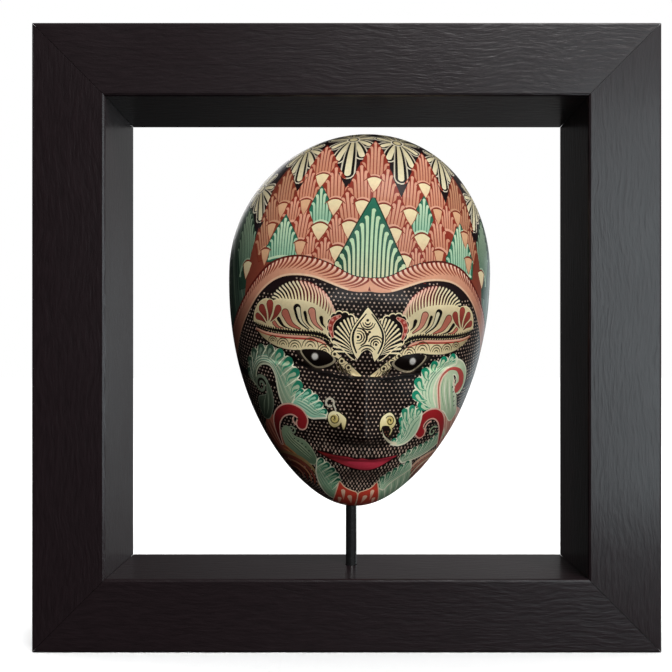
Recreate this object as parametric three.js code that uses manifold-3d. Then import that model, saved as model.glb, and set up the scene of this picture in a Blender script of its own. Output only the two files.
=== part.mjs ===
// A carved wooden dance mask, painted all over in batik, on a black rod in a square box frame.
// Millimetres, +Z up, X to the right and -Y towards the viewer. The origin is the middle of the
// frame's underside. The mask is hollow behind, as if to be worn, and the rod stands in two blind holes.
import * as THREE from "three";
import { mergeVertices } from "three/addons/utils/BufferGeometryUtils.js";
import Module from "manifold-3d";

const wasm = await Module();
wasm.setup();

// The frame: four mitred rails of one section, set on edge like the sides of a shallow box
const FRAME_DEPTH = 50;
const RAIL_WIDTH = 35;
const EDGE_EASE = 1.2;
const EASE_STEPS = 2;
const MITRE_GAP = 0.2;

// The rod: where it stands, how much of it shows, and how far it goes into the rail and the chin
const ROD_RADIUS = 2.75;
const ROD_X = 2.3;
const ROD_Y = 3;
const ROD_SHOWS = 29.4;
const ROD_IN_RAIL = 14;
const ROD_IN_CHIN = 11;
const ROD_CLEARANCE = 0.3;
const ROD_SIDES = 24;

// The mask's outline, from its widest place: half width, reach up to the crown and down to the chin
const HALF_WIDTH = 67.2;
const CROWN_REACH = 71.6;
const CHIN_REACH = 119.3;
const CHIN_TAPER = 0.15;
const CHIN_TAPER_POWER = 3.2;
const CROWN_SKEW = 4;

// The frame is square and as high as the rails, the rod, the mask and the air over its crown take
const CROWN_GAP = 9.7;
const frameSide = 2 * RAIL_WIDTH + ROD_SHOWS + CHIN_REACH + CROWN_REACH + CROWN_GAP;

// The dome of its face, and the walls round the hollow
const DOME = 47;
const DOME_POWER = 2.35;
const WALL = 8;
const WOOD_ABOVE_ROD = 6;

// How the mask hangs on the rod: its back in the frame's depth, its turn to the right and its lean
const MASK_BACK = 9;
const CHIN_FROM_ROD = 0.9;
const TURN = THREE.MathUtils.degToRad(5);
const LEAN = THREE.MathUtils.degToRad(1.8);

// The surface is this much longer than its front view: across, up and down
const ROLL_ACROSS = 1.46;
const ROLL_UP = 1.4;
const ROLL_DOWN = 1.19;

// The carving's soft forms, alike on both sides: how far each stands out of the dome, and its place
// and reach, across as shares of the half width and up as shares of the chin's reach
const BROW = { rise: 3.2, across: 0.491, up: -0.159, reachAcross: 0.357, reachUp: 0.067 };
const EYE = { rise: 1.6, across: 0.357, up: -0.373, reachAcross: 0.134, reachUp: 0.0335 };
const CHEEK = { rise: 3.6, across: 0.461, up: -0.57, reachAcross: 0.253, reachUp: 0.117 };
const NOSTRIL = { rise: 3.4, across: 0.156, up: -0.633, reachAcross: 0.0744, reachUp: 0.042 };
const MUZZLE = { rise: 2.6, across: 0, up: -0.761, reachAcross: 0.3125, reachUp: 0.0754 };
const UPPER_LIP = { rise: 1.3, across: 0, up: -0.761, reachAcross: 0.298, reachUp: 0.0587 };
const LOWER_LIP = { rise: 2.2, across: 0, up: -0.807, reachAcross: 0.208, reachUp: 0.0268 };
const LIP_HOLLOW = { rise: -1.8, across: 0, up: -0.87, reachAcross: 0.253, reachUp: 0.0335 };
const CHIN_BOSS = { rise: 2.6, across: 0, up: -0.937, reachAcross: 0.208, reachUp: 0.0545 };

// The nose, the crease under the eyes and the mouth's line, in the same shares
const NOSE_RISE = 13;
const NOSE = { root: -0.419, tip: -0.679, rootWidth: 0.067, tipWidth: 0.208 };
const NOSE_TIP = { undercut: 0.042, round: 0.0126 };
const CREASE_DEPTH = 3.4;
const CREASE = { up: -0.436, slope: 0.0789, fadeFrom: 0.387, fadeTo: 0.774, lid: 0.0587, edge: 0.0117 };
const MOUTH = { up: -0.7695, curve: 0.1514, below: 0.0067, above: 0.0034 };

// How finely the front, the hollow and the rim are cut
const SPOKES = 96;
const FRONT_RINGS = 30;
const HOLLOW_RINGS = 12;

const { clamp, lerp, smoothstep } = THREE.MathUtils;

// A soft mound round a form's place, with its own reach each way
function mound(form, across, up) {
  const away = (across - form.across) / form.reachAcross;
  return form.rise * Math.exp(-(away ** 2) - ((up - form.up) / form.reachUp) ** 2);
}

// The nose: a straight ridge that widens and rises from its root to the tip, and is cut under sharply
function noseHeight(side, up) {
  const along = clamp((NOSE.root - up) / (NOSE.root - NOSE.tip), 0, 1);
  const halfWidth = lerp(NOSE.rootWidth, NOSE.tipWidth, along);
  const ridge = Math.max(0, 1.1 - Math.hypot(side / halfWidth, 0.1));
  const undercut = smoothstep(up, NOSE.tip - NOSE_TIP.undercut, NOSE.tip + NOSE_TIP.round);
  return NOSE_RISE * along ** 1.15 * ridge ** 1.2 * undercut + mound(NOSTRIL, side, up);
}

// The lids slope back to a sharp crease that runs out from the nose's root under both eyes
function creaseHeight(side, up) {
  const above = up - (CREASE.up + CREASE.slope * side);
  const fade = 1 - smoothstep(side, CREASE.fadeFrom, CREASE.fadeTo);
  const depth = above > 0 ? Math.exp(-above / CREASE.lid) : clamp(1 + above / CREASE.edge, 0, 1);
  return -CREASE_DEPTH * fade * depth;
}

// The upper lip hangs over the lower one along the mouth's line, with a hollow and the chin below
function mouthHeight(side, up) {
  const line = MOUTH.up + MOUTH.curve * side * side;
  const overhang = smoothstep(up, line - MOUTH.below, line + MOUTH.above) * mound(UPPER_LIP, side, up);
  const soft = [MUZZLE, LOWER_LIP, LIP_HOLLOW, CHIN_BOSS];
  return soft.reduce((height, form) => height + mound(form, side, up), overhang);
}

// The carving's height at a place in the front view, from the widest place
function carvingHeight(x, z) {
  const side = Math.abs(x) / HALF_WIDTH;
  const up = z / CHIN_REACH;
  const soft = [BROW, EYE, CHEEK].reduce((height, form) => height + mound(form, side, up), 0);
  return soft + noseHeight(side, up) + creaseHeight(side, up) + mouthHeight(side, up);
}

// Rolled out flat, a shell's front is nearly true to length: this gives the share of its reach in
// the front view for a share of the rolled-out reach, with the surface upright where it meets the rim
function rollIn(longer, share) {
  return longer * share - (longer - 1) * share ** (longer / (longer - 1));
}

const OUTSIDE = {
  halfWidth: HALF_WIDTH,
  up: CROWN_REACH,
  down: CHIN_REACH,
  dome: DOME,
  carving: carvingHeight,
};
const INSIDE = {
  halfWidth: HALF_WIDTH - WALL,
  up: CROWN_REACH - WALL,
  down: CHIN_REACH - ROD_IN_CHIN - WOOD_ABOVE_ROD,
  dome: DOME - WALL,
  carving: () => 0,
};

// A point of one skin of the mask from the unit disc of its rolled-out outline. The mask's own frame
// has its origin at the chin, on the plane of its back, with y away from the viewer.
function skinPoint(skin, across, up) {
  const share = Math.hypot(across, up);
  const rollHeight = up > 0 ? ROLL_UP : ROLL_DOWN;
  const sideShare = share > 0 ? (across / share) * rollIn(ROLL_ACROSS, share) : 0;
  const heightShare = share > 0 ? (up / share) * rollIn(rollHeight, share) : 0;
  const taper = 1 - CHIN_TAPER * Math.max(0, -heightShare) ** CHIN_TAPER_POWER;
  const skew = CROWN_SKEW * Math.max(0, heightShare) ** 2;
  const x = skin.halfWidth * taper * sideShare + skew;
  const z = (heightShare > 0 ? skin.up : skin.down) * heightShare;
  const radius = Math.min(1, Math.hypot(sideShare, heightShare));
  const rise = skin.dome * Math.sqrt(1 - radius ** DOME_POWER);
  const edge = smoothstep(rise, 0, 0.2 * skin.dome);
  return new THREE.Vector3(x, -rise - edge * skin.carving(x, z), z + CHIN_REACH);
}

// One skin as rings round a centre at the nose's root, out to the rim. Its triangles face the viewer
// on the outside and the back in the hollow.
function skinRings(skin, rings, outward, points, triangles) {
  const centreUp = NOSE.root / ROLL_DOWN;
  const centre = points.push(skinPoint(skin, 0, centreUp)) - 1;
  const add = (a, b, c) => triangles.push(...(outward ? [a, b, c] : [a, c, b]));
  for (let ring = 1; ring <= rings; ring++) {
    for (let spoke = 0; spoke < SPOKES; spoke++) {
      const angle = (2 * Math.PI * spoke) / SPOKES;
      const across = (ring / rings) * Math.cos(angle);
      const up = lerp(centreUp, Math.sin(angle), ring / rings);
      points.push(skinPoint(skin, across, up));
      const next = (spoke + 1) % SPOKES;
      const here = centre + 1 + (ring - 1) * SPOKES;
      if (ring === 1) {
        add(centre, here + spoke, here + next);
      } else {
        add(here - SPOKES + spoke, here + spoke, here + next);
        add(here - SPOKES + spoke, here + next, here - SPOKES + next);
      }
    }
  }
  return centre + 1 + (rings - 1) * SPOKES;
}

// The whole mask before its rod hole: the carved front, the hollow behind and the flat rim between
function maskGeometry() {
  const points = [];
  const triangles = [];
  const outerRim = skinRings(OUTSIDE, FRONT_RINGS, true, points, triangles);
  const innerRim = skinRings(INSIDE, HOLLOW_RINGS, false, points, triangles);
  for (let spoke = 0; spoke < SPOKES; spoke++) {
    const next = (spoke + 1) % SPOKES;
    triangles.push(outerRim + spoke, innerRim + spoke, innerRim + next);
    triangles.push(outerRim + spoke, innerRim + next, outerRim + next);
  }
  const geometry = new THREE.BufferGeometry().setFromPoints(points);
  geometry.setIndex(triangles);
  return geometry;
}

// A closed mesh as a solid that can be cut
function toSolid(geometry) {
  const bare = geometry.clone();
  bare.deleteAttribute("normal");
  bare.deleteAttribute("uv");
  const merged = mergeVertices(bare, 1e-4);
  const vertProperties = new Float32Array(merged.attributes.position.array);
  const triVerts = new Uint32Array(merged.index.array);
  return new wasm.Manifold(new wasm.Mesh({ numProp: 3, vertProperties, triVerts }));
}

function cut(geometry, cutter) {
  const mesh = toSolid(geometry).subtract(toSolid(cutter)).getMesh();
  const result = new THREE.BufferGeometry();
  result.setAttribute("position", new THREE.BufferAttribute(new Float32Array(mesh.vertProperties), 3));
  result.setIndex(new THREE.BufferAttribute(new Uint32Array(mesh.triVerts), 1));
  result.computeVertexNormals();
  return result;
}

// An upright cylinder on the rod's axis, between two heights of the whole object
function rodCylinder(radius, from, to) {
  const cylinder = new THREE.CylinderGeometry(radius, radius, to - from, ROD_SIDES);
  cylinder.rotateX(Math.PI / 2);
  return cylinder.translate(ROD_X, ROD_Y, (from + to) / 2);
}

// The section of a rail: its width up from the outer face, its depth across, with eased long edges
function railSection() {
  const outline = [];
  const corners = [[1, -1, Math.PI / -2], [1, 1, 0], [-1, 1, Math.PI / 2], [-1, -1, Math.PI]];
  for (const [alongDepth, alongWidth, start] of corners) {
    const centreDepth = alongDepth * (FRAME_DEPTH / 2 - EDGE_EASE);
    const centreWidth = RAIL_WIDTH / 2 + alongWidth * (RAIL_WIDTH / 2 - EDGE_EASE);
    for (let step = 0; step <= EASE_STEPS; step++) {
      const angle = start + (Math.PI / 2) * (step / EASE_STEPS);
      const depth = centreDepth + EDGE_EASE * Math.cos(angle);
      const width = centreWidth + EDGE_EASE * Math.sin(angle);
      outline.push(new THREE.Vector2(depth, width));
    }
  }
  return new THREE.Shape(outline);
}

// A rail along X with its outer face at z = 0, its ends sloped for the mitre
function railGeometry() {
  const geometry = new THREE.ExtrudeGeometry(railSection(), { depth: 1, bevelEnabled: false });
  const place = geometry.attributes.position;
  for (let i = 0; i < place.count; i++) {
    const [depth, width, end] = [place.getX(i), place.getY(i), place.getZ(i)];
    const reach = frameSide / 2 - width - MITRE_GAP / 2;
    place.setXYZ(i, (end > 0.5 ? 1 : -1) * reach, depth, width);
  }
  return geometry;
}

const frameWood = { color: 0x231c20, roughness: 0.3, metalness: 0 };
const rodMetal = { color: 0x0c0b0c, roughness: 0.25, metalness: 0.4 };
const paintedWood = { color: 0x4a3026, roughness: 0.4, metalness: 0 };

function named(name, geometry, look) {
  const mesh = new THREE.Mesh(geometry, new THREE.MeshStandardMaterial(look));
  mesh.name = name;
  return mesh;
}

const topeng = new THREE.Group();

// The four rails stand round the frame's middle, each a quarter turn on from the last
const chinHeight = RAIL_WIDTH + ROD_SHOWS;
const rodFoot = RAIL_WIDTH - ROD_IN_RAIL;
const railHole = rodCylinder(ROD_RADIUS + ROD_CLEARANCE, rodFoot - ROD_CLEARANCE, frameSide / 2);
const frame = new THREE.Group();
frame.position.z = frameSide / 2;
topeng.add(frame);
["rail_bottom", "rail_left", "rail_top", "rail_right"].forEach((name, turn) => {
  const rail = railGeometry();
  const mesh = named(name, turn === 0 ? cut(rail, railHole) : rail, frameWood);
  mesh.geometry.translate(0, 0, -frameSide / 2);
  mesh.rotation.y = (turn * Math.PI) / 2;
  frame.add(mesh);
});

topeng.add(named("rod", rodCylinder(ROD_RADIUS, rodFoot, chinHeight + ROD_IN_CHIN), rodMetal));

// The mask turns and leans about its chin, and its blind hole stays upright on the rod
const hanger = new THREE.Group();
hanger.position.set(ROD_X + CHIN_FROM_ROD, MASK_BACK, chinHeight);
hanger.rotation.z = TURN;
topeng.add(hanger);
const leaning = new THREE.Group();
leaning.rotation.y = LEAN;
hanger.add(leaning);
leaning.updateWorldMatrix(true, false);
const holeTop = chinHeight + ROD_IN_CHIN + ROD_CLEARANCE;
const chinHole = rodCylinder(ROD_RADIUS + ROD_CLEARANCE, RAIL_WIDTH, holeTop);
chinHole.applyMatrix4(leaning.matrixWorld.clone().invert());
leaning.add(named("mask", cut(maskGeometry(), chinHole), paintedWood));

export default topeng;
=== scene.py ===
"""A carved dance mask painted in batik, on a rod in a square box frame, with its finishes and its stage."""

import math

import bpy
import numpy as np
from bpy.props import FloatProperty, FloatVectorProperty, PointerProperty
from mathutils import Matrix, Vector, kdtree
from mathutils.geometry import delaunay_2d_cdt


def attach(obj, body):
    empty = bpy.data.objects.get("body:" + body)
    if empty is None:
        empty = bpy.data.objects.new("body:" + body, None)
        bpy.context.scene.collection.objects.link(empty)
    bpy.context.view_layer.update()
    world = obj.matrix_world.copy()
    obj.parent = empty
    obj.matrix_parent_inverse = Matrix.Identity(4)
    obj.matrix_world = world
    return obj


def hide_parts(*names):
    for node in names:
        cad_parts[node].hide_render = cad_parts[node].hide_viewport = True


bl_info = {
    "name": "Topeng mask in a frame",
    "version": (1, 0, 0),
    "blender": (4, 5, 0),
    "location": "View3D > Sidebar > Topeng",
    "description": "Builds the painted mask, finishes its rod and frame, and sets the stage",
    "category": "Object",
}

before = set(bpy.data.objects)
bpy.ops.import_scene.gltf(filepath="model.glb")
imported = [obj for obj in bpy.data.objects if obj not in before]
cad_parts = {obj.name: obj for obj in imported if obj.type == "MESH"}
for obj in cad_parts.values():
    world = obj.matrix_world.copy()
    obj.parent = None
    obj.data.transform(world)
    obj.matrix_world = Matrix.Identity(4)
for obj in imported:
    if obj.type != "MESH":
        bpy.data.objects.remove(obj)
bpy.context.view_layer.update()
MM = 0.001
TINY = 1e-9              # keeps divisors off zero

# The mask's sizes in millimetres, as in its solid
HALF_WIDTH, CROWN_REACH, CHIN_REACH = 67.2, 71.6, 119.3
CHIN_TAPER, CHIN_TAPER_POWER, CROWN_SKEW = 0.15, 3.2, 4.0
DOME, DOME_POWER = 47.0, 2.35
WALL, CHIN_WALL = 8.0, 17.0
ROLL_ACROSS, ROLL_UP, ROLL_DOWN = 1.46, 1.4, 1.19
TURN, LEAN = math.radians(5), math.radians(1.8)
CHIN_PLACE = (3.2, 9.0, 64.4)
ROD_X, ROD_Y, ROD_RADIUS, ROD_CLEARANCE, ROD_IN_CHIN = 2.3, 3.0, 2.75, 0.3, 11.0
RIM_ROUND = 1.5          # the rounding where the painted front meets the flat back edge
GOUGE_WAVE = 0.9         # the height of the long waves that the gouge leaves in the hollow

# Reaches of the drawing plane as shares of the mask's outline, 1 at the rim
PAINT_EDGE = 1.05        # the end of the front's skin, over the rounding and onto the back edge
PAINT_REACH = 1.03       # how far a patch may run
PAINT_LIMIT = 1.022      # where the paint ends on the rounding

# The carved forms: rise in mm, then place and reach as shares of the half width and the chin's reach
BROW = (3.2, 0.491, -0.159, 0.357, 0.067)
EYE = (1.6, 0.357, -0.373, 0.134, 0.0335)
CHEEK = (3.6, 0.461, -0.57, 0.253, 0.117)
NOSTRIL = (3.4, 0.156, -0.633, 0.0744, 0.042)
MUZZLE = (2.6, 0, -0.761, 0.3125, 0.0754)
UPPER_LIP = (1.3, 0, -0.761, 0.298, 0.0587)
LOWER_LIP = (2.2, 0, -0.807, 0.208, 0.0268)
LIP_HOLLOW = (-1.8, 0, -0.87, 0.253, 0.0335)
CHIN_BOSS = (2.6, 0, -0.937, 0.208, 0.0545)
NOSE_RISE, NOSE_ROOT, NOSE_TIP = 12.55, -0.419, -0.679
NOSE_ROOT_WIDTH, NOSE_TIP_WIDTH = 0.067, 0.208
CREASE_DEPTH, CREASE_UP, CREASE_SLOPE = 3.4, -0.436, 0.0789
MOUTH_UP, MOUTH_CURVE = -0.7695, 0.1514


def linear(colour):
    """A linear RGB triple from an sRGB hex string."""
    values = [int(colour[i:i + 2], 16) / 255 for i in (1, 3, 5)]
    return tuple(v / 12.92 if v <= 0.04045 else ((v + 0.055) / 1.055) ** 2.4 for v in values)


# The painter's colours that several figures share
INK, GROUND, LINE, UMBER = "#140d0c", "#1c1113", "#120d0c", "#2c2215"
CREAM, CREAM_DEEP, SHIELD, PALE_LINE = "#e2cfa2", "#e9d8ac", "#f0dcae", "#ddd2bb"
SALMON, SALMON_DULL, PINK, DOT, GREEN = "#e3b791", "#dfae86", "#e3b3a0", "#bba08f", "#4f9f7c"


# Carving and surface

def smooth(value, low, high):
    """A smooth step from 0 at low to 1 at high."""
    t = np.clip((value - low) / (high - low), 0, 1)
    return t * t * (3 - 2 * t)


def mound(form, side, up):
    """A soft form of the carving."""
    rise, across, at, reach_across, reach_up = form
    return rise * np.exp(-((side - across) / reach_across) ** 2 - ((up - at) / reach_up) ** 2)


def carving(x, z):
    """How far the carving stands out of the dome, in mm, at a place of the front view."""
    side, up = np.abs(x) / HALF_WIDTH, z / CHIN_REACH
    along = np.clip((NOSE_ROOT - up) / (NOSE_ROOT - NOSE_TIP), 0, 1)
    width = NOSE_ROOT_WIDTH + (NOSE_TIP_WIDTH - NOSE_ROOT_WIDTH) * along
    ridge = np.maximum(0, 1.1 - np.hypot(side / width, 0.1))
    nose = NOSE_RISE * along ** 1.15 * ridge ** 1.2 * smooth(up, NOSE_TIP - 0.042, NOSE_TIP + 0.0126)
    above = up - (CREASE_UP + CREASE_SLOPE * side)
    lid = np.where(above > 0, np.exp(-np.maximum(above, 0) / 0.0587), np.clip(1 + above / 0.0117, 0, 1))
    crease = -CREASE_DEPTH * (1 - smooth(side, 0.387, 0.774)) * lid
    line = MOUTH_UP + MOUTH_CURVE * side * side
    overhang = smooth(up, line - 0.0067, line + 0.0034) * mound(UPPER_LIP, side, up)
    soft = (BROW, EYE, CHEEK, NOSTRIL, MUZZLE, LOWER_LIP, LIP_HOLLOW, CHIN_BOSS)
    return nose + crease + overhang + sum(mound(form, side, up) for form in soft)


def roll_in(longer, share):
    """The share of a reach in the front view for a share of it measured over the surface."""
    return longer * share - (longer - 1) * share ** (longer / (longer - 1))


def shares(p, q):
    """A place of the drawing plane as shares of the rolled-out outline, and its distance share."""
    up = q / np.where(q > 0, CROWN_REACH * ROLL_UP, CHIN_REACH * ROLL_DOWN)
    taper = 1 - CHIN_TAPER * np.clip(-up, 0, 1) ** CHIN_TAPER_POWER
    across = p / (HALF_WIDTH * ROLL_ACROSS * taper)
    return across, up, np.hypot(across, up)


def disc_to_front(across, up, half_width, crown, chin):
    """The front view of a rolled-out unit disc: x, z and the distance share."""
    share = np.maximum(np.hypot(across, up), TINY)
    held = np.minimum(share, 1)
    side = across / share * roll_in(ROLL_ACROSS, held)
    height = up / share * np.where(up > 0, roll_in(ROLL_UP, held), roll_in(ROLL_DOWN, held))
    taper = 1 - CHIN_TAPER * np.clip(-height, 0, 1) ** CHIN_TAPER_POWER
    x = half_width * taper * side + CROWN_SKEW * np.clip(height, 0, 1) ** 2
    z = np.where(height > 0, crown, chin) * height
    return x, z, np.minimum(np.hypot(side, height), 1)


def to_world(x, y, z):
    """From the mask's own frame, y towards the viewer and z from its widest place, to the whole's."""
    z = z + CHIN_REACH
    across = x * math.cos(LEAN) + z * math.sin(LEAN)
    height = -x * math.sin(LEAN) + z * math.cos(LEAN)
    world_x = CHIN_PLACE[0] + across * math.cos(TURN) + y * math.sin(TURN)
    world_y = CHIN_PLACE[1] + across * math.sin(TURN) - y * math.cos(TURN)
    return np.stack([world_x, world_y, CHIN_PLACE[2] + height], -1)


def front_surface(p, q):
    """The painted front in mm for places of the drawing plane, round the rim and onto the back edge."""
    across, up, share = shares(p, q)
    x, z, radius = disc_to_front(across, up, HALF_WIDTH, CROWN_REACH, CHIN_REACH)
    rise = (DOME - RIM_ROUND) * np.sqrt(np.maximum(0, 1 - radius ** DOME_POWER))
    y = RIM_ROUND + rise + smooth(rise, 0, 0.2 * DOME) * carving(x, z)
    past = np.maximum(share - 1, 0) * np.hypot(p, q) / np.maximum(share, TINY)
    turn = np.clip(past / RIM_ROUND, 0, math.pi / 2)
    inward = RIM_ROUND * (1 - np.cos(turn)) + np.maximum(past - RIM_ROUND * math.pi / 2, 0)
    y = np.where(share > 1, RIM_ROUND * (1 - np.sin(turn)), y)
    reach = np.where(z > 0, CROWN_REACH, CHIN_REACH)
    out_x, out_z = x / HALF_WIDTH ** 2, z / reach ** 2
    size = np.maximum(np.hypot(out_x, out_z), TINY)
    return to_world(x - inward * out_x / size, y, z - inward * out_z / size)


def hollow_surface(angle, share):
    """The hollow's skin in mm on rings of the unit disc, with the marks of a broad gouge."""
    across, up = share * np.cos(angle), share * np.sin(angle)
    x, z, radius = disc_to_front(across, up, HALF_WIDTH - WALL, CROWN_REACH - WALL, CHIN_REACH - CHIN_WALL)
    y = (DOME - WALL) * np.sqrt(np.maximum(0, 1 - radius ** DOME_POWER))
    strokes = np.abs(np.sin(z / 5.2 + 0.9 * np.sin(x / 9.0))) * np.abs(np.cos(x / 6.5 + 0.7 * np.sin(z / 11.0)))
    return to_world(x, y + GOUGE_WAVE * strokes * smooth(y, 2, 9), z)


# Drawing in the plane

LONGEST_EDGE = 4.0       # a longer straight side would cut through the dome
SMALLEST = 0.02          # sides and patches below this are left out


def curve(points, steps, closed=False):
    """A smooth line through a few points."""
    p = np.asarray(points, float)
    if closed:
        p = np.vstack([p[-1], p, p[0], p[1]])
    else:
        p = np.vstack([2 * p[0] - p[1], p, 2 * p[-1] - p[-2]])
    t = np.linspace(0, 1, steps, endpoint=False)[:, None]
    spans = []
    for i in range(1, len(p) - 2):
        a, b, c, d = p[i - 1:i + 3]
        spans.append(0.5 * (2 * b + (c - a) * t + (2 * a - 5 * b + 4 * c - d) * t ** 2
                            + (3 * b - a - 3 * c + d) * t ** 3))
    line = np.vstack(spans)
    return line if closed else np.vstack([line, p[-2]])


def distances(line):
    """How far along a line each of its points lies."""
    return np.concatenate([[0], np.cumsum(np.hypot(*np.diff(line, axis=0).T))])


def at_distance(line, places):
    """Points at distances along a line, held at its ends."""
    reach = distances(line)
    return np.stack([np.interp(places, reach, line[:, k]) for k in (0, 1)], -1)


def at_share(line, share):
    """Points at shares of a line's length."""
    return at_distance(line, share * distances(line)[-1])


def rays(turn, squash=1.0):
    """Steps of length one towards angles, flattened or stretched upwards."""
    return np.stack([np.cos(turn), squash * np.sin(turn)], -1)


def to_the_left(step):
    """A step turned a quarter to the left."""
    return np.array([-step[1], step[0]])


def normals(line):
    """The left-hand unit normals of a line."""
    along = np.gradient(line, axis=0)
    along /= np.maximum(np.hypot(along[:, 0], along[:, 1]), TINY)[:, None]
    return np.stack([-along[:, 1], along[:, 0]], -1)


def ribbon(line, widths, round_end=True, round_start=False):
    """The outline of a brush stroke along a line, with its width at each end or all along."""
    line = np.asarray(line, float)
    half = np.interp(np.linspace(0, 1, len(line)), np.linspace(0, 1, len(np.atleast_1d(widths))),
                     np.atleast_1d(widths)) / 2
    side = normals(line) * half[:, None]
    left, right = line + side, line - side

    def cap(centre, start, radius):
        turn = np.arctan2(start[1], start[0]) - np.linspace(0, 1, 5 if radius < 1.2 else 11)[1:-1] * math.pi
        return centre + radius * rays(turn)

    parts = [left]
    if round_end:
        parts.append(cap(line[-1], side[-1], half[-1]))
    parts.append(right[::-1])
    if round_start:
        parts.append(cap(line[0], -side[0], half[0]))
    return np.vstack(parts)


def drop(tail, head, radius, bend=0.0):
    """A comma drop: a round head that narrows to its tail."""
    tail, head = np.asarray(tail, float), np.asarray(head, float)
    middle = (tail + head) / 2 + bend * to_the_left(head - tail)
    return ribbon(curve([tail, middle, head], 4), [0.15, 0.7 * radius, 1.5 * radius, 2 * radius])


def disc(centre, radius, sides, squash=1.0):
    """A round spot."""
    turn = np.linspace(0, 2 * math.pi, sides, endpoint=False)
    return np.asarray(centre) + radius * rays(turn, squash)


def area(outline):
    """The area inside an outline, negative when it runs clockwise."""
    x, y = outline[:, 0], outline[:, 1]
    return 0.5 * float(np.sum(x * np.roll(y, -1) - y * np.roll(x, -1)))


def grown(outline, by):
    """An outline moved outwards by a margin."""
    outline = outline if area(outline) > 0 else outline[::-1]
    before, after = np.roll(outline, 1, 0), np.roll(outline, -1, 0)
    along = after - before
    along /= np.maximum(np.hypot(along[:, 0], along[:, 1]), TINY)[:, None]
    return outline + by * np.stack([along[:, 1], -along[:, 0]], -1)


def scalloped(line, lobes, depth):
    """A line whose left side swells into rounded lobes."""
    line = curve(line, 12)
    t = np.linspace(0, 1, lobes * 5 + 1)
    even = at_share(line, t)
    swell = depth * np.abs(np.sin(t * lobes * math.pi)) ** 0.7
    return even + normals(even) * swell[:, None]


def inside(points, outline):
    """Which points lie in an outline."""
    x, y = points[:, 0, None], points[:, 1, None]
    ax, ay = outline[:, 0], outline[:, 1]
    bx, by = np.roll(ax, -1), np.roll(ay, -1)
    across = (ay > y) != (by > y)
    with np.errstate(divide="ignore", invalid="ignore"):
        cut = (bx - ax) * (y - ay) / (by - ay) + ax
    return np.count_nonzero(across & (x < cut), axis=1) % 2 == 1


def divided(outline, longest):
    """An outline with points added, so that no straight side is longer than a length."""
    ahead = np.roll(outline, -1, 0) - outline
    parts = np.maximum(1, np.ceil(np.hypot(*ahead.T) / longest)).astype(int)
    if parts.max() == 1:
        return outline
    return np.vstack([a + step * (np.arange(n) / n)[:, None] for a, step, n in zip(outline, ahead, parts)])


class Painting:
    """Flat patches of paint in the drawing plane, each over the ones before it."""

    def __init__(self):
        self.outlines = []
        self.colours = []

    def add(self, outline, colour, to=None, run=None):
        """A patch of one colour, or one that turns into another on the run between two places."""
        outline = np.asarray(outline, float)
        _, _, share = shares(outline[:, 0], outline[:, 1])
        outline = divided(outline / np.maximum(share / PAINT_REACH, 1)[:, None], LONGEST_EDGE)
        outline = outline[np.hypot(*(outline - np.roll(outline, 1, 0)).T) > SMALLEST]
        if len(outline) < 3 or abs(area(outline)) < SMALLEST:
            return
        outline = outline if area(outline) > 0 else outline[::-1]
        start, end = run if run is not None else ((0, 0), (1, 0))
        first = linear(colour)
        self.outlines.append(outline)
        self.colours.append((*first, *(linear(to) if to else first), *start, *end))

    def lined(self, outline, margin, line, colour, to=None, run=None):
        """A patch with a line of another colour round it."""
        self.add(grown(outline, margin), line)
        self.add(outline, colour, to, run)

    def stroke(self, points, widths, colour, to=None, run=None, steps=4, ends=(True, False)):
        """A brush stroke through a few points, with its widths, and whether its last and first end are round."""
        self.add(ribbon(curve(points, steps), widths, *ends), colour, to, run)

    def spots(self, places, radius, colour, sides=7):
        """Round spots of one size."""
        for place in places:
            self.add(disc(place, radius, sides), colour)

    def colour_at(self, patch, place):
        """The linear colour of patches at places, as arrays."""
        table = np.array(self.colours)[patch]
        first, last, start, end = table[..., :3], table[..., 3:6], table[..., 6:8], table[..., 8:10]
        run = end - start
        t = np.sum((place - start) * run, -1) / np.maximum(np.sum(run * run, -1), TINY)
        return first + np.clip(t, 0, 1)[..., None] * (last - first)


def sided(points, side, droop=0.0):
    """Points drawn for the viewer's right, or mirrored for the left, which hangs a little higher."""
    p = np.array(points, float).reshape(-1, 2)
    if side < 0:
        p[:, 0] *= -1
        return p
    p[:, 1] -= droop * np.exp(-((p[:, 0] - 20) / 16) ** 2)
    return p


# The crown: feather bundles, wedges, petals, the headband

CROWN_DROOP, PETAL_DROOP = 3.2, 1.8      # how much lower the viewer's right side hangs

# Feather bundles: base, tip, half width, barbs each side, kind, and whether they stand on a cream shield
FEATHERS = [
    ((0, 43.5), (0, 70), 5.6, 3, "middle", True), ((5.2, 30.5), (6.8, 50), 5.4, 3, "red", True),
    ((10.6, 20), (12.8, 34), 5.6, 3, "red", True), ((15.6, 8.2), (17.2, 22.5), 5.8, 4, "red", True),
    ((18.2, 31), (19.6, 49), 5.6, 3, "red", True), ((21.6, 0.5), (21.4, 11.5), 4.4, 3, "red", False),
    ((24.5, 19), (25.6, 36.5), 4.9, 3, "green", True), ((26.2, 46), (27.6, 68), 5.4, 3, "red", True),
    ((28.6, 2.5), (28.3, 14), 4.4, 3, "red", False), ((33, 31.5), (33.2, 50), 5.0, 3, "red", True),
    ((33.6, 10.5), (32.2, 26), 5.2, 3, "red", True), ((38.8, 19.5), (38.6, 33), 4.6, 3, "red", False),
    ((42.8, 2.2), (42.6, 22.0), 8.2, 5, "temple", False), ((45.5, 31), (47.5, 53), 5.4, 3, "red", True),
    ((50.5, 20.5), (53.5, 36), 5.0, 3, "red", True), ((53.0, 7.5), (56.5, 24), 5.0, 3, "red", True),
]
RIGHT_TEMPLE = ((47.5, -2.0), (46.8, 23.5))     # where the viewer's right one of the temple bundles stands
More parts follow.
